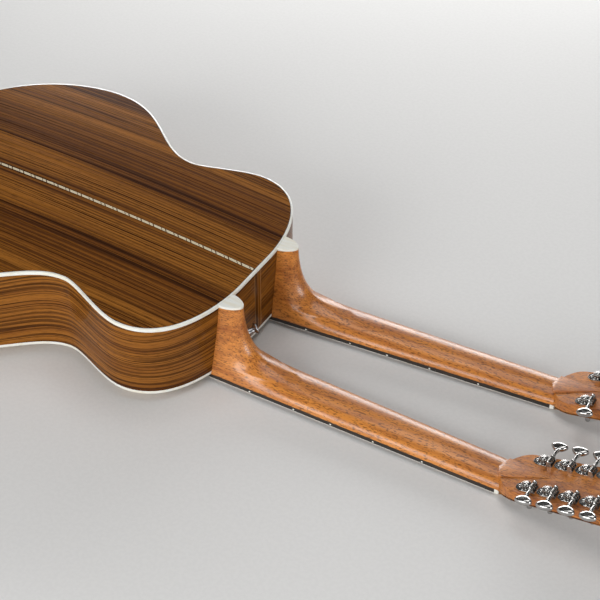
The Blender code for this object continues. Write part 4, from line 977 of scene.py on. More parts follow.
class GUITAR_OT_soundboard(Operator):
    """Spruce soundboard with its sound hole, rosette, edge purfling and braces"""

    bl_idname = "guitar.soundboard"
    bl_label = "Soundboard"

    PURFLING_DEPTH, ROSETTE_START, ROSETTE_DEPTH = 0.0016, 0.0045, 0.0006

    def execute(self, context):
        body, sizes, place = BodyShape(), context.scene.guitar_body, body_frame()
        board = prism(body.inset(sizes.binding + sum(TOP_PURFLING)), PROUD, sizes.plate)
        radius, ease = sizes.hole_radius, 0.0006
        profile = [(radius + ease, z) for z in (-0.001, PROUD)]
        profile += [(radius, PROUD + ease), (radius, sizes.plate + 0.001)]
        at_hole = Matrix.Translation((sizes.hole_x, 0, 0))
        board = combined(board, placed(turned(profile, 96), at_hole), "DIFFERENCE")
        piece("soundboard_plate", board, "spruce", place, stands_for=["soundboard"])
        self.purfle(body, sizes, place)
        self.rosette(sizes, place @ at_hole)
        self.braces(sizes.plate, place)
        return {"FINISHED"}

    def inlaid(self, name, place, lines):
        """Concentric lines, dark and pale in turn."""
        piece(f"{name}_dark", gathered(lines[0::2]), "ebony", place)
        piece(f"{name}_pale", gathered(lines[1::2]), "ivoroid", place)

    def purfle(self, body, sizes, place):
        inset, low, high, lines = sizes.binding, PROUD / 2, self.PURFLING_DEPTH, []
        for width in TOP_PURFLING:
            outer = inset + width
            lines.append(body.rim(((inset, low), (outer, low), (outer, high), (inset, high)), False))
            inset = outer
        self.inlaid("top_purfling", place, lines)

    def rosette(self, sizes, place):
        """Plain inlaid rings round the sound hole."""
        radius, low, lines = sizes.hole_radius + self.ROSETTE_START, PROUD / 2, []
        high = low + self.ROSETTE_DEPTH
        for width in ROSETTE:
            outer = radius + width
            lines.append(hoop(((radius, low), (outer, low), (outer, high), (radius, high)), 120))
            radius = outer
        self.inlaid("rosette", place, lines)

    def braces(self, foot, place):
        """The X of braces, the bars beside it and the bridge plate."""
        bars = []
        for centre, turn, start, end, half, tall in (
            ((-0.244, 0.0), 46.0, -0.20, 0.15, 0.0040, 0.0125),
            ((-0.244, 0.0), -46.0, -0.20, 0.15, 0.0040, 0.0120),
            ((-0.060, 0.0), 90.0, -0.125, 0.125, 0.0060, 0.0110),
            ((-0.385, 0.035), 62.0, -0.085, 0.085, 0.0035, 0.0080),
            ((-0.385, -0.035), -62.0, -0.085, 0.085, 0.0035, 0.0080),
            ((-0.250, 0.125), 20.0, -0.035, 0.035, 0.0035, 0.0070),
            ((-0.250, -0.125), -20.0, -0.035, 0.035, 0.0035, 0.0070),
        ):
            rings = []
            for share in [i / 12 for i in range(13)]:
                drop = tall * min(1.0, 0.2 + 6.0 * min(share, 1 - share))
                right = [(half, 0), (half, drop * 0.6), (half * 0.4, drop)]
                corners = [(-half, 0), *right, *((-y, z) for y, z in reversed(right[1:]))]
                rings.append([(start + (end - start) * share, y, foot + z) for y, z in corners])
            swing = Matrix.Translation((*centre, 0.0)) @ Matrix.Rotation(math.radians(turn), 4, "Z")
            bars.append(placed(loft(rings), swing))
        neck = bpy.context.scene.guitar_neck
        plate_x = neck.nut_x - neck.scale - 0.0065
        bars.append(box((plate_x - 0.0225, -0.115, foot), (plate_x + 0.0225, 0.115, foot + 0.003), 0.0005))
        piece("soundboard_braces", gathered(bars), "spruce", place)


# The necks
class NeckShape:
    """The neck's rounded back and its heel, worked out from the neck's sizes."""

    SWEEP_LENGTH, SWEEP_POWER, SWEEP_END = 0.0092, 0.65, 0.02
    HEEL_FLARE, HEEL_INSIDE = 1.25, -0.012
    LOW_SHARE = 0.80

    def __init__(self, spec):
        self.spec, self.sizes = spec, bpy.context.scene.guitar_neck
        body = BodyShape()
        self.heel_top = body.height(body.sizes.front_x, self.sizes.spacing / 2)
        self.wood_top = self.heel_top - self.sizes.heel_cap - SEAM

    def width(self, x):
        """Width of the fretboard and neck at x."""
        spec = self.spec
        return spec["nut_width"] + spec["width_growth"] * 2 * (self.sizes.nut_x - x) / self.sizes.scale

    def shaft_crest(self, x):
        return self.sizes.crest + self.sizes.crest_growth * (self.sizes.nut_x - x)

    def crest(self, x):
        """Height of the middle line: the heel's flat top, its sweep, then the shaft."""
        reach = self.sizes.heel_reach
        if x <= reach:
            return self.wood_top
        fall = math.exp(-(((x - reach) / self.SWEEP_LENGTH) ** self.SWEEP_POWER))
        fall = max(fall - self.SWEEP_END, 0.0) / (1 - self.SWEEP_END)
        return self.shaft_crest(x) + (self.wood_top - self.shaft_crest(x)) * fall

    def reach(self, z):
        """How far the heel's middle line stands out from the body at a height."""
        reach = self.sizes.heel_reach
        base = self.shaft_crest(reach)
        share = max(z - base, 0.0) / (self.wood_top - base)
        if share >= 1:
            return reach
        fall = share * (1 - self.SWEEP_END) + self.SWEEP_END
        return reach + self.SWEEP_LENGTH * (-math.log(fall)) ** (1 / self.SWEEP_POWER)

    def shaft_half(self, x, z):
        share = min(z / self.shaft_crest(x), 1.0)
        return self.width(x) / 2 * math.sqrt(max(1 - share**self.sizes.roundness, 0.0))

    @staticmethod
    def tongue(share):
        return (1 - min(max(share, 0.0), 1.0) ** 1.8) ** (1 / 1.7)

    def half(self, x, z):
        """Half-width at x and a height: the round back and the heel's tongue, blended."""
        foot = self.width(0.0) / 2
        narrow = self.sizes.heel_half
        side = narrow + (foot - narrow) * (1 - min(z / self.wood_top, 1.0)) ** self.HEEL_FLARE
        heel = max(side**3 - self.shaft_half(0.0, z) ** 3, 0.0) ** (1 / 3)
        blend = (self.shaft_half(x, z) ** 3 + (heel * self.tongue(x / self.reach(z))) ** 3) ** (1 / 3)
        return min(blend, self.width(x) / 2)

    def ring(self, x):
        low, base, top = self.LOW_SHARE, self.shaft_crest(x), self.crest(x)
        heights = [base * low * (i / 12) for i in range(12)]
        heights += [base * low + (top - base * low) * (1 - (1 - i / 26) ** 1.7) for i in range(27)]
        return [(x, y, z) for y, z in both_sides([(self.half(x, z), max(z, SEAM / 2)) for z in heights])]

    def stations(self):
        sizes = self.sizes
        heel = [sizes.heel_reach * math.sin(math.pi / 2 * i / 12) for i in range(13)]
        sweep = [sizes.heel_reach + 0.0003 * 1.24**i for i in range(1, 26)]
        start, end = sweep[-1], sizes.nut_x - 0.010
        shaft = [start + (end - start) * i / 20 for i in range(1, 21)]
        nut = [sizes.nut_x + along for along in (-0.004, 0.0, sizes.nut_length)]
        return [self.HEEL_INSIDE, *heel, *sweep, *shaft, *nut]


class HeadShape:
    """The head's outline and the dart that strengthens it behind the nut."""

    BACK_HALF_AT_NUT, SWELL_POWER = 0.0120, 2.3
    DART_LENGTH, DART_BACK, DART_HALF, DART_HEIGHT = 0.0560, 0.0060, 0.0150, 0.0026
    DART_WALL, DART_CROWN, DART_SINK = 0.0012, 0.0006, 0.0003
    PLATE_START, CORNER, EASE, BORE_GAP = 0.0030, 0.0050, 0.0006, 0.0004

    def __init__(self, key):
        self.key, self.spec, self.sizes = key, NECKS[key], bpy.context.scene.guitar_neck
        inward = head_frame(key).inverted()
        self.spots = [inward @ at_post for *_, at_post, _ in machine_places(key)]
        self.length = max(spot.x for spot in self.spots) + self.sizes.beyond

    def half(self, along, back=False):
        sizes, nut_half = self.sizes, self.spec["nut_width"] / 2
        if along >= sizes.shoulder:
            return sizes.head_half + sizes.head_flare * (along - sizes.shoulder)
        share = max(along, 0.0) / sizes.shoulder
        if back:
            swell = 1 - (1 - share) ** self.SWELL_POWER
            return self.BACK_HALF_AT_NUT + (sizes.head_half - self.BACK_HALF_AT_NUT) * swell
        return nut_half + (sizes.head_half - nut_half) * math.sin(math.pi / 2 * share)

    def wood(self):
        shoulder = self.sizes.shoulder
        stations = [-0.001, *(shoulder * (i / 24) ** 1.5 for i in range(1, 25)), self.length - self.CORNER]
        return loft([self.ring(*spot) for spot in [(along, 0.0) for along in stations] + self.rounding(8)])

    def rounding(self, steps):
        """The rounded corners of the head's end: (place along the head, how far the sides draw in)."""
        end, corner = self.length, self.CORNER
        turns = [math.pi / 2 * i / steps for i in range(1, steps + 1)]
        return [(end - corner * (1 - math.sin(turn)), corner * (1 - math.cos(turn))) for turn in turns]

    def bores(self, low, high):
        """Round bores through the head for its posts."""
        radius = bpy.context.scene.guitar_machine.post_radius + self.BORE_GAP
        centres = [Matrix.Translation((spot.x, spot.y, 0)) for spot in self.spots]
        return gathered([placed(turned([(radius, low), (radius, high)], 24), centre) for centre in centres])

    def ring(self, along, cut):
        """One section across the head, its long edges eased."""
        low, ease = -self.sizes.head_wood, self.EASE
        front, back = self.half(along) - cut, self.half(along, back=True) - cut
        right = [(front - ease * 0.5, low), (front, low + ease * 0.5), (back, -ease), (back - ease, 0.0)]
        return [(along, y, z) for y, z in both_sides(right)]

    def face(self):
        """The outline of the veneer on the head's face."""
        steps = [self.sizes.shoulder * (i / 12) for i in range(2, 13)]
        side = [(along, self.half(along)) for along in (self.PLATE_START, *steps, self.length - self.CORNER)]
        side += [(along, self.half(along) - cut) for along, cut in self.rounding(6)]
        return [(x, -y) for x, y in side] + [(x, y) for x, y in reversed(side)]

    def dart(self, neck):
        """The dart behind the nut, in the neck's frame: a long wedge, nearly flat, with low steep walls."""
        x, half, head = self.sizes.nut_x, self.DART_HALF, head_on_neck()
        edge = self.sizes.head_back - self.DART_SINK
        top = edge + self.DART_HEIGHT
        points = [Vector((x - self.DART_BACK, 0, neck.shaft_crest(x) - self.DART_SINK))]
        points += [Vector((x, 0, top + self.DART_CROWN)), Vector((x, 0, edge - 0.008))]
        for side in (-1, 1):
            points += [Vector((x, side * (half - self.DART_WALL), top)), Vector((x, side * half, edge))]
        tip = Vector((self.DART_LENGTH, 0, 0))
        points += [head @ tip, head @ (tip - Vector((0.004, 0, 0.002)))]
        build = bmesh.new()
        for point in points:
            build.verts.new(point)
        bmesh.ops.convex_hull(build, input=build.verts)
        return tidied(build)


class GUITAR_OT_necks(Operator):
    """Both mahogany necks with heel, rounded shaft, dart and head"""

    bl_idname = "guitar.necks"
    bl_label = "Necks"

    def execute(self, context):
        body = BodyShape()
        for key, spec in NECKS.items():
            neck, head = NeckShape(spec), HeadShape(key)
            at_neck, at_head = neck_frame(spec), head_frame(key)
            wood = placed(loft([neck.ring(x) for x in neck.stations()]), at_neck)
            wood = combined(wood, placed(head.wood(), at_head), "UNION")
            wood = combined(wood, placed(head.dart(neck), at_neck), "UNION")
            wood = combined(wood, placed(head.bores(-0.03, 0.003), at_head), "DIFFERENCE")
            wood = combined(wood, body.room(context.scene.guitar_neck.spacing * 1.2), "DIFFERENCE")
            piece(f"{key}_neck_wood", wood, "mahogany", stands_for=[f"{key}_neck"], sharp=28.0)
            self.cap(key, neck, body, at_neck)
            dress(f"{key}_truss_rod", "steel")
        return {"FINISHED"}

    def cap(self, key, neck, body, at_neck):
        """The cream plate on the end of the heel, its edge eased."""
        sizes = neck.sizes
        shares = [math.sin(math.pi / 2 * i / 24) for i in range(25)]
        side = [(sizes.heel_reach * share, sizes.heel_half * neck.tongue(share)) for share in shares]
        side = [(neck.HEEL_INSIDE, sizes.heel_half), *side]
        line = [(x, -y) for x, y in side[:-1]] + [(x, y) for x, y in reversed(side)]
        plate = placed(prism(line, neck.wood_top + PROUD, neck.heel_top, 0.0005), at_neck)
        plate = combined(plate, body.room(0.15), "DIFFERENCE")
        piece(f"{key}_heel_plate", plate, "ivoroid", stands_for=[f"{key}_heel_cap"])


class GUITAR_OT_fretboards(Operator):
    """Ebony fretboards with their binding lines, frets, dots and nuts"""

    bl_idname = "guitar.fretboards"
    bl_label = "Fretboards"

    CAMBER_RADIUS = 0.400
    LINE_HEIGHT = 0.0005
    FRET_HALF, FRET_HEIGHT = 0.00105, 0.0010
    DOT_RADIUS, SIDE_DOT_RADIUS = 0.0032, 0.0011

    def execute(self, context):
        self.sizes = context.scene.guitar_neck
        tree = pattern_tree("pattern_at_points")
        for key, spec in NECKS.items():
            neck, place = NeckShape(spec), neck_frame(spec)
            self.board(key, neck, place)
            self.frets(key, neck, place, tree)
            self.dots(key, neck, place, tree)
            self.nut(key, spec, place)
        return {"FINISHED"}

    def fret_x(self, count):
        return self.sizes.nut_x - self.sizes.scale * (1 - 2 ** (-count / 12))

    def under(self, x):
        """Height of the board's glued face: on the neck, or on the soundboard past the joint."""
        if x > bpy.context.scene.guitar_body.front_x:
            return -PROUD
        return -SEAM - math.tan(self.sizes.pitch) * x

    def crown(self, y):
        """Height of the board's cambered playing face."""
        return -self.sizes.board + y * y / (2 * self.CAMBER_RADIUS)

    def board(self, key, neck, place):
        sizes, front = self.sizes, bpy.context.scene.guitar_body.front_x
        rings, lines = [], {-1: [], 1: []}
        for x in (self.fret_x(sizes.frets) - sizes.board_end, front, front + 0.0002, sizes.nut_x - PROUD):
            half = neck.width(x) / 2
            under = self.under(x)
            top = [(half * (1 - 2 * i / 16), self.crown(half * (1 - 2 * i / 16))) for i in range(17)]
            rings.append([(x, -half, under), (x, half, under)] + [(x, y, z) for y, z in top])
            for side in (-1, 1):
                outer, inner = side * (half + PROUD), side * (half - 0.0007)
                low = self.crown(half) - PROUD / 2
                high = low + self.LINE_HEIGHT
                lines[side].append([(x, outer, low), (x, inner, low), (x, inner, high), (x, outer, high)])
        piece(f"{key}_board", loft(rings), "ebony", place, stands_for=[f"{key}_fingerboard"], sharp=20.0)
        both = gathered([loft(line) for line in lines.values()])
        piece(f"{key}_board_lines", both, "ivoroid", place)

    def frets(self, key, neck, place, tree):
        """Crowned wires across the board, each as long as the board is wide there."""
        turns = [math.pi * k / 8 for k in range(9)]
        section = [(self.FRET_HALF * math.cos(a), -self.FRET_HEIGHT * math.sin(a)) for a in turns]
        section += [(-self.FRET_HALF, 0.0006), (self.FRET_HALF, 0.0006)]
        wire = loft([[(x, i / 12 - 0.5, z) for x, z in section] for i in range(13)])
        spots = [self.fret_x(count) for count in range(1, self.sizes.frets + 1)]
        places = [((x, 0.0, 0.0), (0, 0, 0), (1.0, neck.width(x) - 0.0008, 1.0)) for x in spots]
        obj = grown(f"{key}_frets", points_mesh(places), tree, wire, "fret_wire", place)
        inward = place.inverted()
        for vertex in obj.data.vertices:
            local = inward @ vertex.co
            local.z += self.crown(local.y)
            vertex.co = place @ local

    def dots(self, key, neck, place, tree):
        """Dots on the playing face, and small ones on the edge that the player sees."""
        face, edge = [], []
        for count, number_of in FRET_DOTS.items():
            x = (self.fret_x(count) + self.fret_x(count - 1)) / 2
            half = neck.width(x) / 2
            for off in (0.0,) if number_of == 1 else (-0.5, 0.5):
                shift = off * half * 0.9
                face.append(((x, shift, self.crown(shift) + 0.0003), (0, 0, 0), (1, 1, 1)))
                if count <= 15:
                    spot = (x + off * 0.008, -half + 0.0004, -self.sizes.board * 0.5)
                    edge.append((spot, (math.pi / 2, 0, 0), (1, 1, 1)))
        for name, places, radius, low, high, facets in (
            ("face", face, self.DOT_RADIUS, -0.0004, 0.0003, 24),
            ("side", edge, self.SIDE_DOT_RADIUS, -0.0004, 0.00045, 16),
        ):
            dot = turned([(radius, low), (radius, high)], facets)
            grown(f"{key}_{name}_dots", points_mesh(places), tree, dot, "ivoroid", place)

    def nut(self, key, spec, place):
        """The nut, with a slot for each string and a face that falls away towards the head."""
        sizes = self.sizes
        half, crown = spec["nut_width"] / 2, -STRING_AT_NUT + 0.0010
        top = [(-half + 0.0004, crown + 0.0006), (-half + 0.0012, crown)]
        slot = ((-0.0004, 0.0), (-0.0002, 0.0009), (0.0002, 0.0009), (0.0004, 0.0))
        for y in sorted(at_nut for at_nut, _, _ in string_places(spec)):
            top += [(y + off, crown + drop) for off, drop in slot]
        top += [(half - 0.0012, crown), (half - 0.0004, crown + 0.0006)]
        rings = []
        ends = [(half, -PROUD), (-half, -PROUD), (-half, crown + 0.0016)]
        section = [*ends[1:], *top, (half, crown + 0.0016), ends[0]]
        reach = sizes.nut_length
        for along, drop in ((PROUD, 0.0003), (0.0004, 0.0), (reach * 0.45, 0.0), (reach - SEAM, 0.0012)):
            rings.append([(sizes.nut_x + along, y, z if z > -0.001 else z + drop) for y, z in section])
        piece(f"{key}_slotted_nut", loft(rings), "ivoroid", place, stands_for=[f"{key}_nut"])


# The tuning machines
class GUITAR_OT_machine_plates(Operator):
    """What is fixed to the heads: base plates with their ears, screws, post bushings and the face veneers"""

    bl_idname = "guitar.machine_plates"
    bl_label = "Machine plates"

    TIP, SHOULDER, END = -0.0120, -0.0050, 0.0110
    EAR_THICKNESS, EAR_HALF, EAR_HEIGHT = 0.0017, 0.0026, 0.0077

    def execute(self, context):
        self.machine = machine = context.scene.guitar_machine
        tree, face = pattern_tree("pattern_at_points"), head_face()
        for key in NECKS:
            head, place = HeadShape(key), head_frame(key)
            plates = [part for spot in head.spots for part in self.plate(spot)]
            piece(f"{key}_machine_plates", gathered(plates), "nickel", place)
            screws, bushings = [], []
            for x, y, _ in head.spots:
                screws.append(((x + self.TIP + 0.0048, y, machine.plate), (0, 0, 0.6 + x * 40), (1, 1, 1)))
                bushings.append(((x, y, face), (0, 0, x * 30), (1, 1, 1)))
            grown(f"{key}_plate_screws", points_mesh(screws), tree, self.screw(), "nickel", place)
            grown(f"{key}_post_bushings", points_mesh(bushings), tree, self.bushing(), "nickel", place)
            veneer = prism(head.face(), face, face + head.sizes.headplate + SEAM - PROUD, 0.0004)
            veneer = combined(veneer, head.bores(-0.02, -0.01), "DIFFERENCE")
            piece(f"{key}_head_veneer", veneer, "rosewood_back", place, stands_for=[f"{key}_headplate"])
        return {"FINISHED"}

    def plate(self, spot):
        """A base plate, pointed towards the nut, with an upright ear at each end of its worm."""
        machine = self.machine
        half, worm = machine.plate_half, spot.x + worm_offset(machine)
        line = [(spot.x + self.END, spot.y - half), (spot.x + self.END, spot.y + half)]
        for i in range(11):
            share = i / 10
            x = spot.x + self.SHOULDER + (self.TIP - self.SHOULDER) * math.sin(math.pi / 2 * share)
            line.append((x, spot.y + half * (1 - share**1.4) ** 0.75))
        line += [(x, 2 * spot.y - y) for x, y in reversed(line[2:-1])]
        parts = [prism(line, 0.00002, machine.plate, 0.00025)]
        ears = (spot.y + end * (half - self.EAR_THICKNESS / 2) for end in (-1, 1))
        return parts + [self.ear(worm, y) for y in ears]

    def ear(self, x, y):
        """An upright bearing with a rounded top and a flared foot."""
        profile = [(-self.EAR_HALF * 1.35, 0.0006), (self.EAR_HALF * 1.35, 0.0006), (self.EAR_HALF, 0.0022)]
        centre = self.machine.gear_height
        for i in range(13):
            a = math.pi * i / 12
            profile.append((self.EAR_HALF * math.cos(a), centre + (self.EAR_HEIGHT - centre) * math.sin(a)))
        profile.append((-self.EAR_HALF, 0.0022))
        half, ease, middle = self.EAR_THICKNESS / 2, 0.0002, 0.0035
        sides = ((-half, 0.93), (-half + ease, 1.0), (half - ease, 1.0), (half, 0.93))
        rings = []
        for shift, share in sides:
            rings.append([(x + a * share, y + shift, middle + (z - middle) * share) for a, z in profile])
        return loft(rings)

    def screw(self):
        """A domed screw head with a slot."""
        radius, edge, rise = 0.0021, 0.0004, 0.0011
        dome = [(radius * math.cos(turn), edge + rise * math.sin(turn)) for turn in ARC]
        slot = box((-0.003, -0.0003, 0.0009), (0.003, 0.0003, 0.003))
        return combined(turned([(radius, 0.0), *dome], 20), slot, "DIFFERENCE")

    def bushing(self):
        """The round collar in which a post leaves the head's face."""
        radius = self.machine.post_radius + 0.00035
        corners = ((radius, 0.0), (radius, -0.0016), (0.0041, -0.0016), (0.0049, -0.0007), (0.0050, 0.0))
        return hoop(corners, 28)


# A quarter turn in steps, stopping just short of the pole
ARC = [*(math.pi / 2 * i / 7 for i in range(7)), math.pi / 2 * 0.985]


def worm_offset(machine):
    """Distance between the axes of post and worm, along the head."""
    return machine.gear_tip + machine.worm_tip - machine.mesh_depth


def worm_lead(machine):
    return 2 * math.pi * (machine.gear_tip - machine.mesh_depth / 2) / machine.teeth


class GUITAR_OT_keys(Operator):
    """The keys: worm, shaft, collar and rounded knob of each tuning machine"""

    bl_idname = "guitar.keys"
    bl_label = "Keys"

    FACETS = 20
    HALF_LENGTH = 0.0036

    def execute(self, context):
        self.machine = context.scene.guitar_machine
        for key in NECKS:
            for name, side, up, outward, _, at_knob in machine_places(key):
                place, node = upright(outward.cross(up), outward, up, at_knob), f"{key}_key_{name}"
                parts = gathered([self.worm(side), self.shaft(), self.knob()])
                piece(f"{node}_metal", parts, "nickel", place, node, [node], sharp=40.0)
        return {"FINISHED"}

    def worm(self, side):
        """The screw thread that drives the gear. A valley faces the gear at the middle of the worm."""
        machine = self.machine
        lead, facing = worm_lead(machine), math.radians(-90 * side)
        marks = []
        turns = math.ceil(self.HALF_LENGTH / lead) + 1
        for turn in range(-turns - 1, turns + 1):
            for share, radius in ((-0.14, 0), (0.14, 0), (0.42, 1), (0.58, 1)):
                reach = machine.worm_root + (machine.worm_tip - machine.worm_root) * radius
                marks.append(((turn + share) * lead, reach))
        build = bmesh.new()
        columns = []
        for i in range(self.FACETS + 1):
            a = facing + 2 * math.pi * i / self.FACETS
            column = []
            for along, radius in marks:
                y = along + lead * i / self.FACETS
                if abs(y) > self.HALF_LENGTH:
                    y, radius = math.copysign(self.HALF_LENGTH, y), machine.worm_root
                column.append(build.verts.new((radius * math.sin(a), y, radius * math.cos(a))))
            columns.append(column)
        for near, far in zip(columns, columns[1:]):
            for k in range(len(marks) - 1):
                build.faces.new((near[k], near[k + 1], far[k + 1], far[k]))
        bmesh.ops.remove_doubles(build, verts=build.verts, dist=1e-7)
        bmesh.ops.dissolve_degenerate(build, edges=build.edges, dist=1e-7)
        bmesh.ops.holes_fill(build, edges=[e for e in build.edges if len(e.link_faces) == 1])
        return tidied(build)

    def shaft(self):
        """The shaft and the collar where it enters the knob."""
        machine = self.machine
        root, plate, start = machine.worm_root * 0.98, machine.plate_half, machine.knob_start
        ear = ((root, 0.0001), (0.0017, 0.0004), (0.0019, 0.0010))
        profile = [(root, 0.0020 - plate), *((radius, plate + past) for radius, past in ear)]
        profile += [(0.0019, start - 0.0034), (0.0025, start - 0.0028), (0.0025, start - 0.0018)]
        profile += [(0.0020, start - 0.0010), (0.0028, start + 0.0006), (0.0028, start + 0.0034)]
        return turned(profile, self.FACETS, "Y")

    def knob(self):
        """An almond-shaped knob, rounded all over."""
        machine = self.machine
        half = smooth_line([Vector(p) for p in KNOB_PLAN], 4)
        points = [(p.x, p.y - 0.52) for p in half]
        points += [(-x, y) for x, y in reversed(points[1:-1])]
        centre = machine.knob_start + machine.knob_depth * 0.52
        rings = []
        for i in range(11):
            turn = math.pi * (i / 10 - 0.5)
            share = max(math.cos(turn), 0.0) ** 0.36 if abs(turn) < math.pi / 2 - 0.01 else 0.42
            z = machine.knob_thickness / 2 * math.sin(turn) * (1.0 if share > 0.5 else 0.97)
            wide, deep = machine.knob_half * share, machine.knob_depth * share
            rings.append([(x * wide, centre + y * deep, z) for x, y in points])
        return loft(rings)


KNOB_PLAN = ((0.0, 0.0), (0.45, 0.05), (0.82, 0.30), (1.0, 0.58), (0.84, 0.80), (0.46, 0.95), (0.0, 1.0))


def smooth_line(points, steps):
    """A Catmull-Rom line through the points."""
    line = []
    for i in range(len(points) - 1):
        a, b = points[max(i - 1, 0)], points[i]
        c, d = points[i + 1], points[min(i + 2, len(points) - 1)]
        for t in (k / steps for k in range(steps)):
            bend = (c - a) * t + (2 * a - 5 * b + 4 * c - d) * t * t + (3 * b - a - 3 * c + d) * t**3
            line.append(0.5 * (2 * b + bend))
    return line + [points[-1]]


class GUITAR_OT_posts(Operator):
    """The string posts, each with its gear, cap screw and turns of string"""

    bl_idname = "guitar.posts"
    bl_label = "Posts"

    WIRE = 0.00042
    TOOTH = ((-0.07, 1.0), (0.07, 1.0), (0.24, 0.45), (0.42, 0.0), (0.58, 0.0), (0.76, 0.45))

    def execute(self, context):
        self.machine = context.scene.guitar_machine
        for key in NECKS:
            for name, side, up, outward, at_post, _ in machine_places(key):
                aside, node = outward * side, f"{key}_post_{name}"
                parts = gathered([self.post(), self.gear(), self.cap_screw(), self.turns()])
                place = upright(aside.cross(up), aside, up, at_post)
                piece(f"{node}_metal", parts, "nickel", place, node, [node], sharp=40.0)
        return {"FINISHED"}

    def post(self):
        """The post, waisted where its string winds and drilled for the string's end."""
        radius = self.machine.post_radius
        tip, middle = head_face() - self.machine.post_reach, head_face() - WINDING
        waist = ((1.0, -0.0032), (WAIST, -0.0022), (WAIST, 0.0022), (1.0, 0.0032))
        waist = [(radius * share, middle + z) for share, z in waist]
        end = [(radius * 0.70, tip), (radius * 0.90, tip + 0.0003), (radius, tip + 0.0012)]
        post = turned([*end, *waist, (radius, self.machine.gear_height)], 28)
        hole = turned([(0.0008, -0.006), (0.0008, 0.006)], 12, "X")
        return combined(post, placed(hole, Matrix.Translation((0, 0, tip + 0.0034))), "DIFFERENCE")

    def gear(self):
        """The toothed wheel, its teeth leaning with the worm's thread."""
        machine = self.machine
        lean = worm_lead(machine) / (2 * math.pi * (machine.worm_tip - machine.mesh_depth / 2))
        twist = machine.gear_thickness / 2 * lean / machine.gear_tip
        pitch = 2 * math.pi / machine.teeth
        rings = []
        for end, share in ((-1.0, 0.94), (-0.86, 1.0), (0.0, 1.0), (0.86, 1.0), (1.0, 0.94)):
            ring = []
            for tooth in range(machine.teeth):
                for part, radius in self.TOOTH:
                    reach = machine.gear_root + (machine.gear_tip - machine.gear_root) * radius
                    turn = (tooth + part) * pitch + end * twist
                    z = machine.gear_height + end * machine.gear_thickness / 2
                    ring.append((reach * share * math.cos(turn), reach * share * math.sin(turn), z))
            rings.append(ring)
        return loft(rings)

    def cap_screw(self):
        """The domed, slotted screw that holds the gear on its post."""
        base = self.machine.gear_height + self.machine.gear_thickness / 2 - 0.0002
        dome = [(0.0030 * math.cos(a), base + 0.0006 + 0.0012 * math.sin(a)) for a in ARC]
        screw = turned([(0.0030, base), *dome], 24)
        slot = box((-0.004, -0.00035, base + 0.0012), (0.004, 0.00035, base + 0.004))
        return combined(screw, slot, "DIFFERENCE")

    def turns(self):
        """The turns of string on the post."""
        middle, radius = head_face() - WINDING, self.machine.post_radius * WAIST + self.WIRE
        spots = enumerate(circle(24) * 4 + [(1.0, 0.0)])
        points = [Vector((radius * c, radius * s, middle + 0.0016 - 0.0034 * i / 96)) for i, (c, s) in spots]
        return tube(points, self.WIRE, 6)


# Strings, saddles and bridge
def string_places(spec):
    """Each string's side place at the nut and at the saddle, and its radius, from bass to treble."""
    places = []
    for course, gauge in enumerate(spec["gauges"]):
        share = course / 5 - 0.5
        nut, saddle = share * spec["spread_nut"], share * spec["spread_saddle"]
        gap = spec["pair_half_gap"]
        if spec["octave_gauges"]:
            places.append((nut - gap, saddle - gap, gauge))
            places.append((nut + gap, saddle + gap, spec["octave_gauges"][course]))
        else:
            places.append((nut, saddle, gauge))
    return places


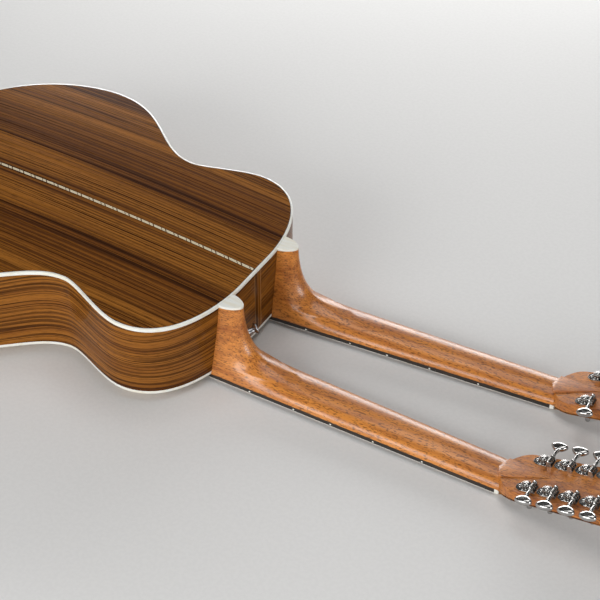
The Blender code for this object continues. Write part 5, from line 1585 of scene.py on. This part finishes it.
class GUITAR_OT_strings(Operator):
    """Wound and plain strings of both necks, from the bridge pins to the posts, with their saddles"""

    bl_idname = "guitar.strings"
    bl_label = "Strings"

    THINNEST_WOUND = 0.00022

    def execute(self, context):
        self.sizes = context.scene.guitar_neck
        for key, spec in NECKS.items():
            place, spots, places = neck_frame(spec), HeadShape(key).spots, string_places(spec)
            half = len(places) // 2
            bass, treble = ([spot for spot in spots if spot.y * side > 0] for side in (-1, 1))
            pairs = list(zip(places[:half], bass)) + list(zip(reversed(places[half:]), treble))
            wound, plain = [], []
            for (nut, saddle, radius), spot in pairs:
                build = self.string(nut, saddle, radius, spot)
                (wound if radius > self.THINNEST_WOUND else plain).append(build)
            node = f"{key}_strings"
            piece(f"{key}_wound_strings", gathered(wound), "wound_string", place, stands_for=[node])
            piece(f"{key}_plain_strings", gathered(plain), "plain_string", place)
            piece(f"{key}_saddle", self.saddle(), "ivoroid", place)
        return {"FINISHED"}

    def height(self, x):
        """Height of the string line in the neck's frame."""
        saddle_x = self.sizes.nut_x - self.sizes.scale
        at_saddle = -STRING_AT_SADDLE - math.tan(self.sizes.pitch) * saddle_x
        share = (self.sizes.nut_x - x) / self.sizes.scale
        return -STRING_AT_NUT + (at_saddle + STRING_AT_NUT) * share

    def string(self, nut, saddle, radius, spot):
        """One string, from its pin over the saddle and the nut to its post."""
        sizes = self.sizes
        saddle_x, end_x = sizes.nut_x - sizes.scale, sizes.nut_x + sizes.nut_length
        end = head_on_neck() @ Vector((spot.x, spot.y - math.copysign(0.0031, spot.y), head_face() - WINDING))
        behind = saddle_x - PIN_OFFSET
        pin_z = -(0.0100 + radius) - math.tan(sizes.pitch) * behind
        rise, at_nut = self.height(saddle_x), self.height(sizes.nut_x)
        points = [
            Vector((behind, saddle, pin_z + 0.0015)),
            Vector((behind + 0.0012, saddle, pin_z - 0.0004)),
            Vector((saddle_x - 0.0012, saddle, rise + 0.0004)),
            Vector((saddle_x, saddle, rise)),
            Vector((saddle_x + 0.0030, saddle, self.height(saddle_x + 0.0030))),
            Vector((sizes.nut_x, nut, at_nut)),
            Vector((sizes.nut_x + 0.0016, nut, at_nut + 0.00005)),
            Vector((end_x, nut, at_nut + 0.0006)).lerp(end, 0.02),
            end,
        ]
        return tube(points, radius, 10)

    def saddle(self):
        """A saddle with a rounded crown, its foot in the bridge."""
        x, half, reach = self.sizes.nut_x - self.sizes.scale, 0.0015, 0.0350
        top = self.height(x) + 0.0003
        bottom = -0.0060 - math.tan(self.sizes.pitch) * x
        rings = []
        for y in (-reach, -reach + 0.0006, reach - 0.0006, reach):
            crown = top + (0.0008 if abs(y) == reach else 0.0)
            turns = [math.pi * i / 8 for i in range(1, 8)]
            ring = [(x - half, y, bottom), (x - half, y, crown + half)]
            ring += [(x - half * math.cos(a), y, crown + half * (1 - math.sin(a)) * 0.8) for a in turns]
            ring += [(x + half, y, crown + half), (x + half, y, bottom)]
            rings.append(ring)
        return loft(rings)


class GUITAR_OT_bridge(Operator):
    """The bridge that carries both sets of strings, with its pins"""

    bl_idname = "guitar.bridge"
    bl_label = "Bridge"

    HEIGHT, WING_HEIGHT = 0.0100, 0.0035
    FRONT, BACK = 0.0100, 0.0220
    HALF, WING = 0.0920, 0.0300

    def execute(self, context):
        neck, place = context.scene.guitar_neck, body_frame()
        x = neck.nut_x - neck.scale
        rings = []
        for i in range(61):
            y = (-1 + i / 30) * (self.HALF + self.WING)
            past = max(abs(y) - self.HALF, 0.0) / self.WING
            fall = 0.5 + 0.5 * math.cos(math.pi * min(past * 1.5, 1.0))
            height = self.WING_HEIGHT + (self.HEIGHT - self.WING_HEIGHT) * fall
            share = math.sqrt(1 - (0.72 * max(past - 0.1, 0.0) / 0.9) ** 2)
            rings.append(self.section(x, y, height, share))
        low, high = (x - 0.00155, -0.0352, -0.012), (x + 0.00155, 0.0352, -0.0005)
        inward = place.inverted()
        slots = gathered([placed(box(low, high), inward @ neck_frame(spec)) for spec in NECKS.values()])
        wood = combined(loft(rings), slots, "DIFFERENCE")
        piece("bridge_wood", wood, "ebony", place, stands_for=["bridge"])
        self.pins(place, x)
        return {"FINISHED"}

    def section(self, x, y, height, share):
        centre = x + (self.FRONT - self.BACK) / 2
        half, ease = (self.FRONT + self.BACK) / 2 * share, 0.0015
        turns = [math.pi / 2 * i / 5 for i in range(6)]
        side = [(half - ease * (1 - math.cos(turn)), height - ease * (1 - math.sin(turn))) for turn in turns]
        return [(centre - across, y, -z) for across, z in both_sides([(half, PROUD), *side])]

    def pins(self, place, x):
        """The domed head of a bridge pin behind each string."""
        radius, spots = 0.0026, []
        head = [(0.0024, 0.0006), (radius, 0.0), (radius, -0.0009)]
        head += [(radius * math.cos(a), -0.0009 - 0.0016 * math.sin(a)) for a in ARC[1:]]
        for spec in NECKS.values():
            inward, size = place.inverted() @ neck_frame(spec), 0.72 if spec["octave_gauges"] else 1.0
            for count, (_, saddle, _) in enumerate(string_places(spec)):
                stagger = 0.0050 if spec["octave_gauges"] and count % 2 else 0.0
                spot = inward @ Vector((x - PIN_OFFSET - 0.0012 - stagger, saddle, 0))
                spots.append(((spot.x, spot.y, -self.HEIGHT), (0, 0, 0), (size,) * 3))
        tree = pattern_tree("pattern_at_points")
        grown("bridge_pins", points_mesh(spots), tree, turned(head, 20), "ivoroid", place)


class GUITAR_OT_buttons(Operator):
    """The strap button on the near heel and the end pin on the tail, with its felt washer"""

    bl_idname = "guitar.buttons"
    bl_label = "Strap buttons"

    def execute(self, context):
        for node, finish in (("strap_button", "steel"), ("end_pin", "ebony")):
            mount = MOUNTS[f"{node}_face"]
            outward = Vector(mount["axis"])
            seat = Vector(mount["pos_m"]) - outward * BUTTON_LENGTH
            put = Matrix.Translation(seat) @ outward.to_track_quat("X", "Z").to_matrix().to_4x4()
            piece(f"{node}_turned", self.button(), finish, put, stands_for=[node])
        washer = turned([(0.0060, 0.0), (0.0064, 0.0003), (0.0064, 0.0009), (0.0060, 0.0012)], 40, "X")
        piece("end_pin_washer", placed(washer, Matrix.Translation((-SEAM + PROUD, 0, 0))), "felt", put)
        return {"FINISHED"}

    def button(self):
        """A waisted button with a dished face, its foot sunk a little into the wood."""
        foot = [(BUTTON_FOOT, -0.0009), (BUTTON_FOOT, 0.0004)]
        waist = ((0.57, 0.16), (0.52, 0.32), (0.50, 0.50), (0.55, 0.61), (0.72, 0.70))
        rim = ((0.92, 0.79), (0.99, 0.86), (1.0, 0.91), (0.97, 0.96), (0.84, 1.0))
        dish = ((0.50, 1.0), (0.44, 0.96), (0.30, 0.97), (0.05, 0.98))
        profile = foot + [(BUTTON_RADIUS * wide, BUTTON_LENGTH * along) for wide, along in waist + rim + dish]
        return turned(profile, 48, "X")


class GUITAR_OT_stage(Operator):
    """Pale floor, soft studio light and the camera of the photograph"""

    bl_idname = "guitar.stage"
    bl_label = "Stage"

    FLOOR_HALF, FLOOR_DROP = 6.0, 0.0002

    def execute(self, context):
        self.floor(context)
        self.lights(context)
        self.camera(context)
        context.scene.view_settings.view_transform = "Standard"
        return {"FINISHED"}

    def floor(self, context):
        tone = context.scene.guitar_colours.floor
        tones = (tone, dimmed(tone, 0.975))
        matt = {"roughness": 0.75, "specular_ior_level": 0.2}
        paint = mottled("floor", "ivory", (220.0,) * 3, 2.0, (0.4, 0.6), tones, **matt)
        build = bmesh.new()
        half, drop = self.FLOOR_HALF, self.FLOOR_DROP
        corners = ((-half, -half), (half, -half), (half, half), (-half, half))
        build.faces.new([build.verts.new((x, y, -drop)) for x, y in corners])
        ground = stand_in("floor", build)
        ground.data.materials.append(paint)

    def lights(self, context):
        world = bpy.data.worlds.new("studio")
        world.use_nodes = True
        sky = Wiring(world.node_tree)
        above = sky.step(sky.parts("Generated")[2], 0.10, 0.42)
        shade = sky.blend(above, (0.78, 0.775, 0.765), (0.04, 0.04, 0.04))
        sky.fill(sky.tree.nodes["Background"].inputs["Color"], shade)
        context.scene.world = world
        for name, power, size, place, aim in (
            ("softbox_over", 11.0, (1.5, 1.0), (0.15, 0.25, 1.8), (0.0, 0.0, 0.05)),
            ("softbox_far", 38.0, (2.4, 0.80), (-0.55, 1.9, 0.54), (0.0, 0.0, 0.05)),
            ("softbox_near", 34.0, (1.6, 1.2), (-0.45, -1.95, 0.80), (-0.1, 0.0, 0.05)),
            ("softbox_right", 18.0, (0.7, 1.0), (2.2, -1.25, 0.55), (0.1, 0.0, 0.05)),
        ):
            light = bpy.data.lights.new(name, "AREA")
            light.shape, light.size, light.size_y, light.energy = "RECTANGLE", *size, power
            lamp = bpy.data.objects.new(name, light)
            lamp.location = place
            lamp.visible_camera = False
            lamp.rotation_euler = (Vector(place) - Vector(aim)).to_track_quat("Z", "Y").to_euler()
            context.scene.collection.objects.link(lamp)

    def camera(self, context):
        """Turned and placed in the body's frame, where the photograph was measured."""
        around, above, roll = math.radians(29.209), math.radians(39.450), math.radians(0.564)
        level = math.cos(above)
        back = Vector((math.sin(around) * level, -math.cos(around) * level, math.sin(above)))
        right = Vector((math.cos(around), math.sin(around), 0))
        up = back.cross(right)
        right, up = right * math.cos(roll) + up * math.sin(roll), up * math.cos(roll) - right * math.sin(roll)
        shift, distance, lowered = Vector((-0.054519, -0.040340)), 1.788347, 0.003
        spot = -right * shift.x - up * shift.y + back * distance
        spot.z -= lowered
        data = bpy.data.cameras.new("photograph")
        data.sensor_width, data.lens = 36.0, 88.90
        data.clip_start, data.clip_end = 0.05, 50.0
        camera = bpy.data.objects.new("photograph", data)
        camera.matrix_world = body_frame() @ upright(right, up, back, spot)
        context.scene.collection.objects.link(camera)
        context.scene.camera = camera


OPERATORS = (
    GUITAR_OT_back,
    GUITAR_OT_sides,
    GUITAR_OT_bindings,
    GUITAR_OT_soundboard,
    GUITAR_OT_necks,
    GUITAR_OT_fretboards,
    GUITAR_OT_machine_plates,
    GUITAR_OT_keys,
    GUITAR_OT_posts,
    GUITAR_OT_strings,
    GUITAR_OT_bridge,
    GUITAR_OT_buttons,
    GUITAR_OT_stage,
)
GROUPS = {
    "guitar_body": BodySizes,
    "guitar_neck": NeckSizes,
    "guitar_machine": MachineSizes,
    "guitar_colours": Colours,
}


class GUITAR_PT_panel(Panel):
    """Lists the guitar's pieces and their sizes"""

    bl_label = "Double-neck guitar"
    bl_idname = "GUITAR_PT_panel"
    bl_space_type = "VIEW_3D"
    bl_region_type = "UI"
    bl_category = "Guitar"

    def draw(self, context):
        for operator in OPERATORS:
            self.layout.operator(operator.bl_idname)
        for attribute in GROUPS:
            group = getattr(context.scene, attribute)
            column = self.layout.box().column()
            for name in group.__annotations__:
                column.prop(group, name)


def register():
    for group in GROUPS.values():
        bpy.utils.register_class(group)
    for operator in OPERATORS:
        bpy.utils.register_class(operator)
    bpy.utils.register_class(GUITAR_PT_panel)
    for attribute, group in GROUPS.items():
        setattr(bpy.types.Scene, attribute, PointerProperty(type=group))


def unregister():
    for attribute in GROUPS:
        delattr(bpy.types.Scene, attribute)
    bpy.utils.unregister_class(GUITAR_PT_panel)
    for made in (*reversed(OPERATORS), *GROUPS.values()):
        bpy.utils.unregister_class(made)


def main():
    register()
    make_finishes()
    for operator in OPERATORS:
        getattr(bpy.ops.guitar, operator.bl_idname.split(".")[1])()


if __name__ == "__main__":
    main()
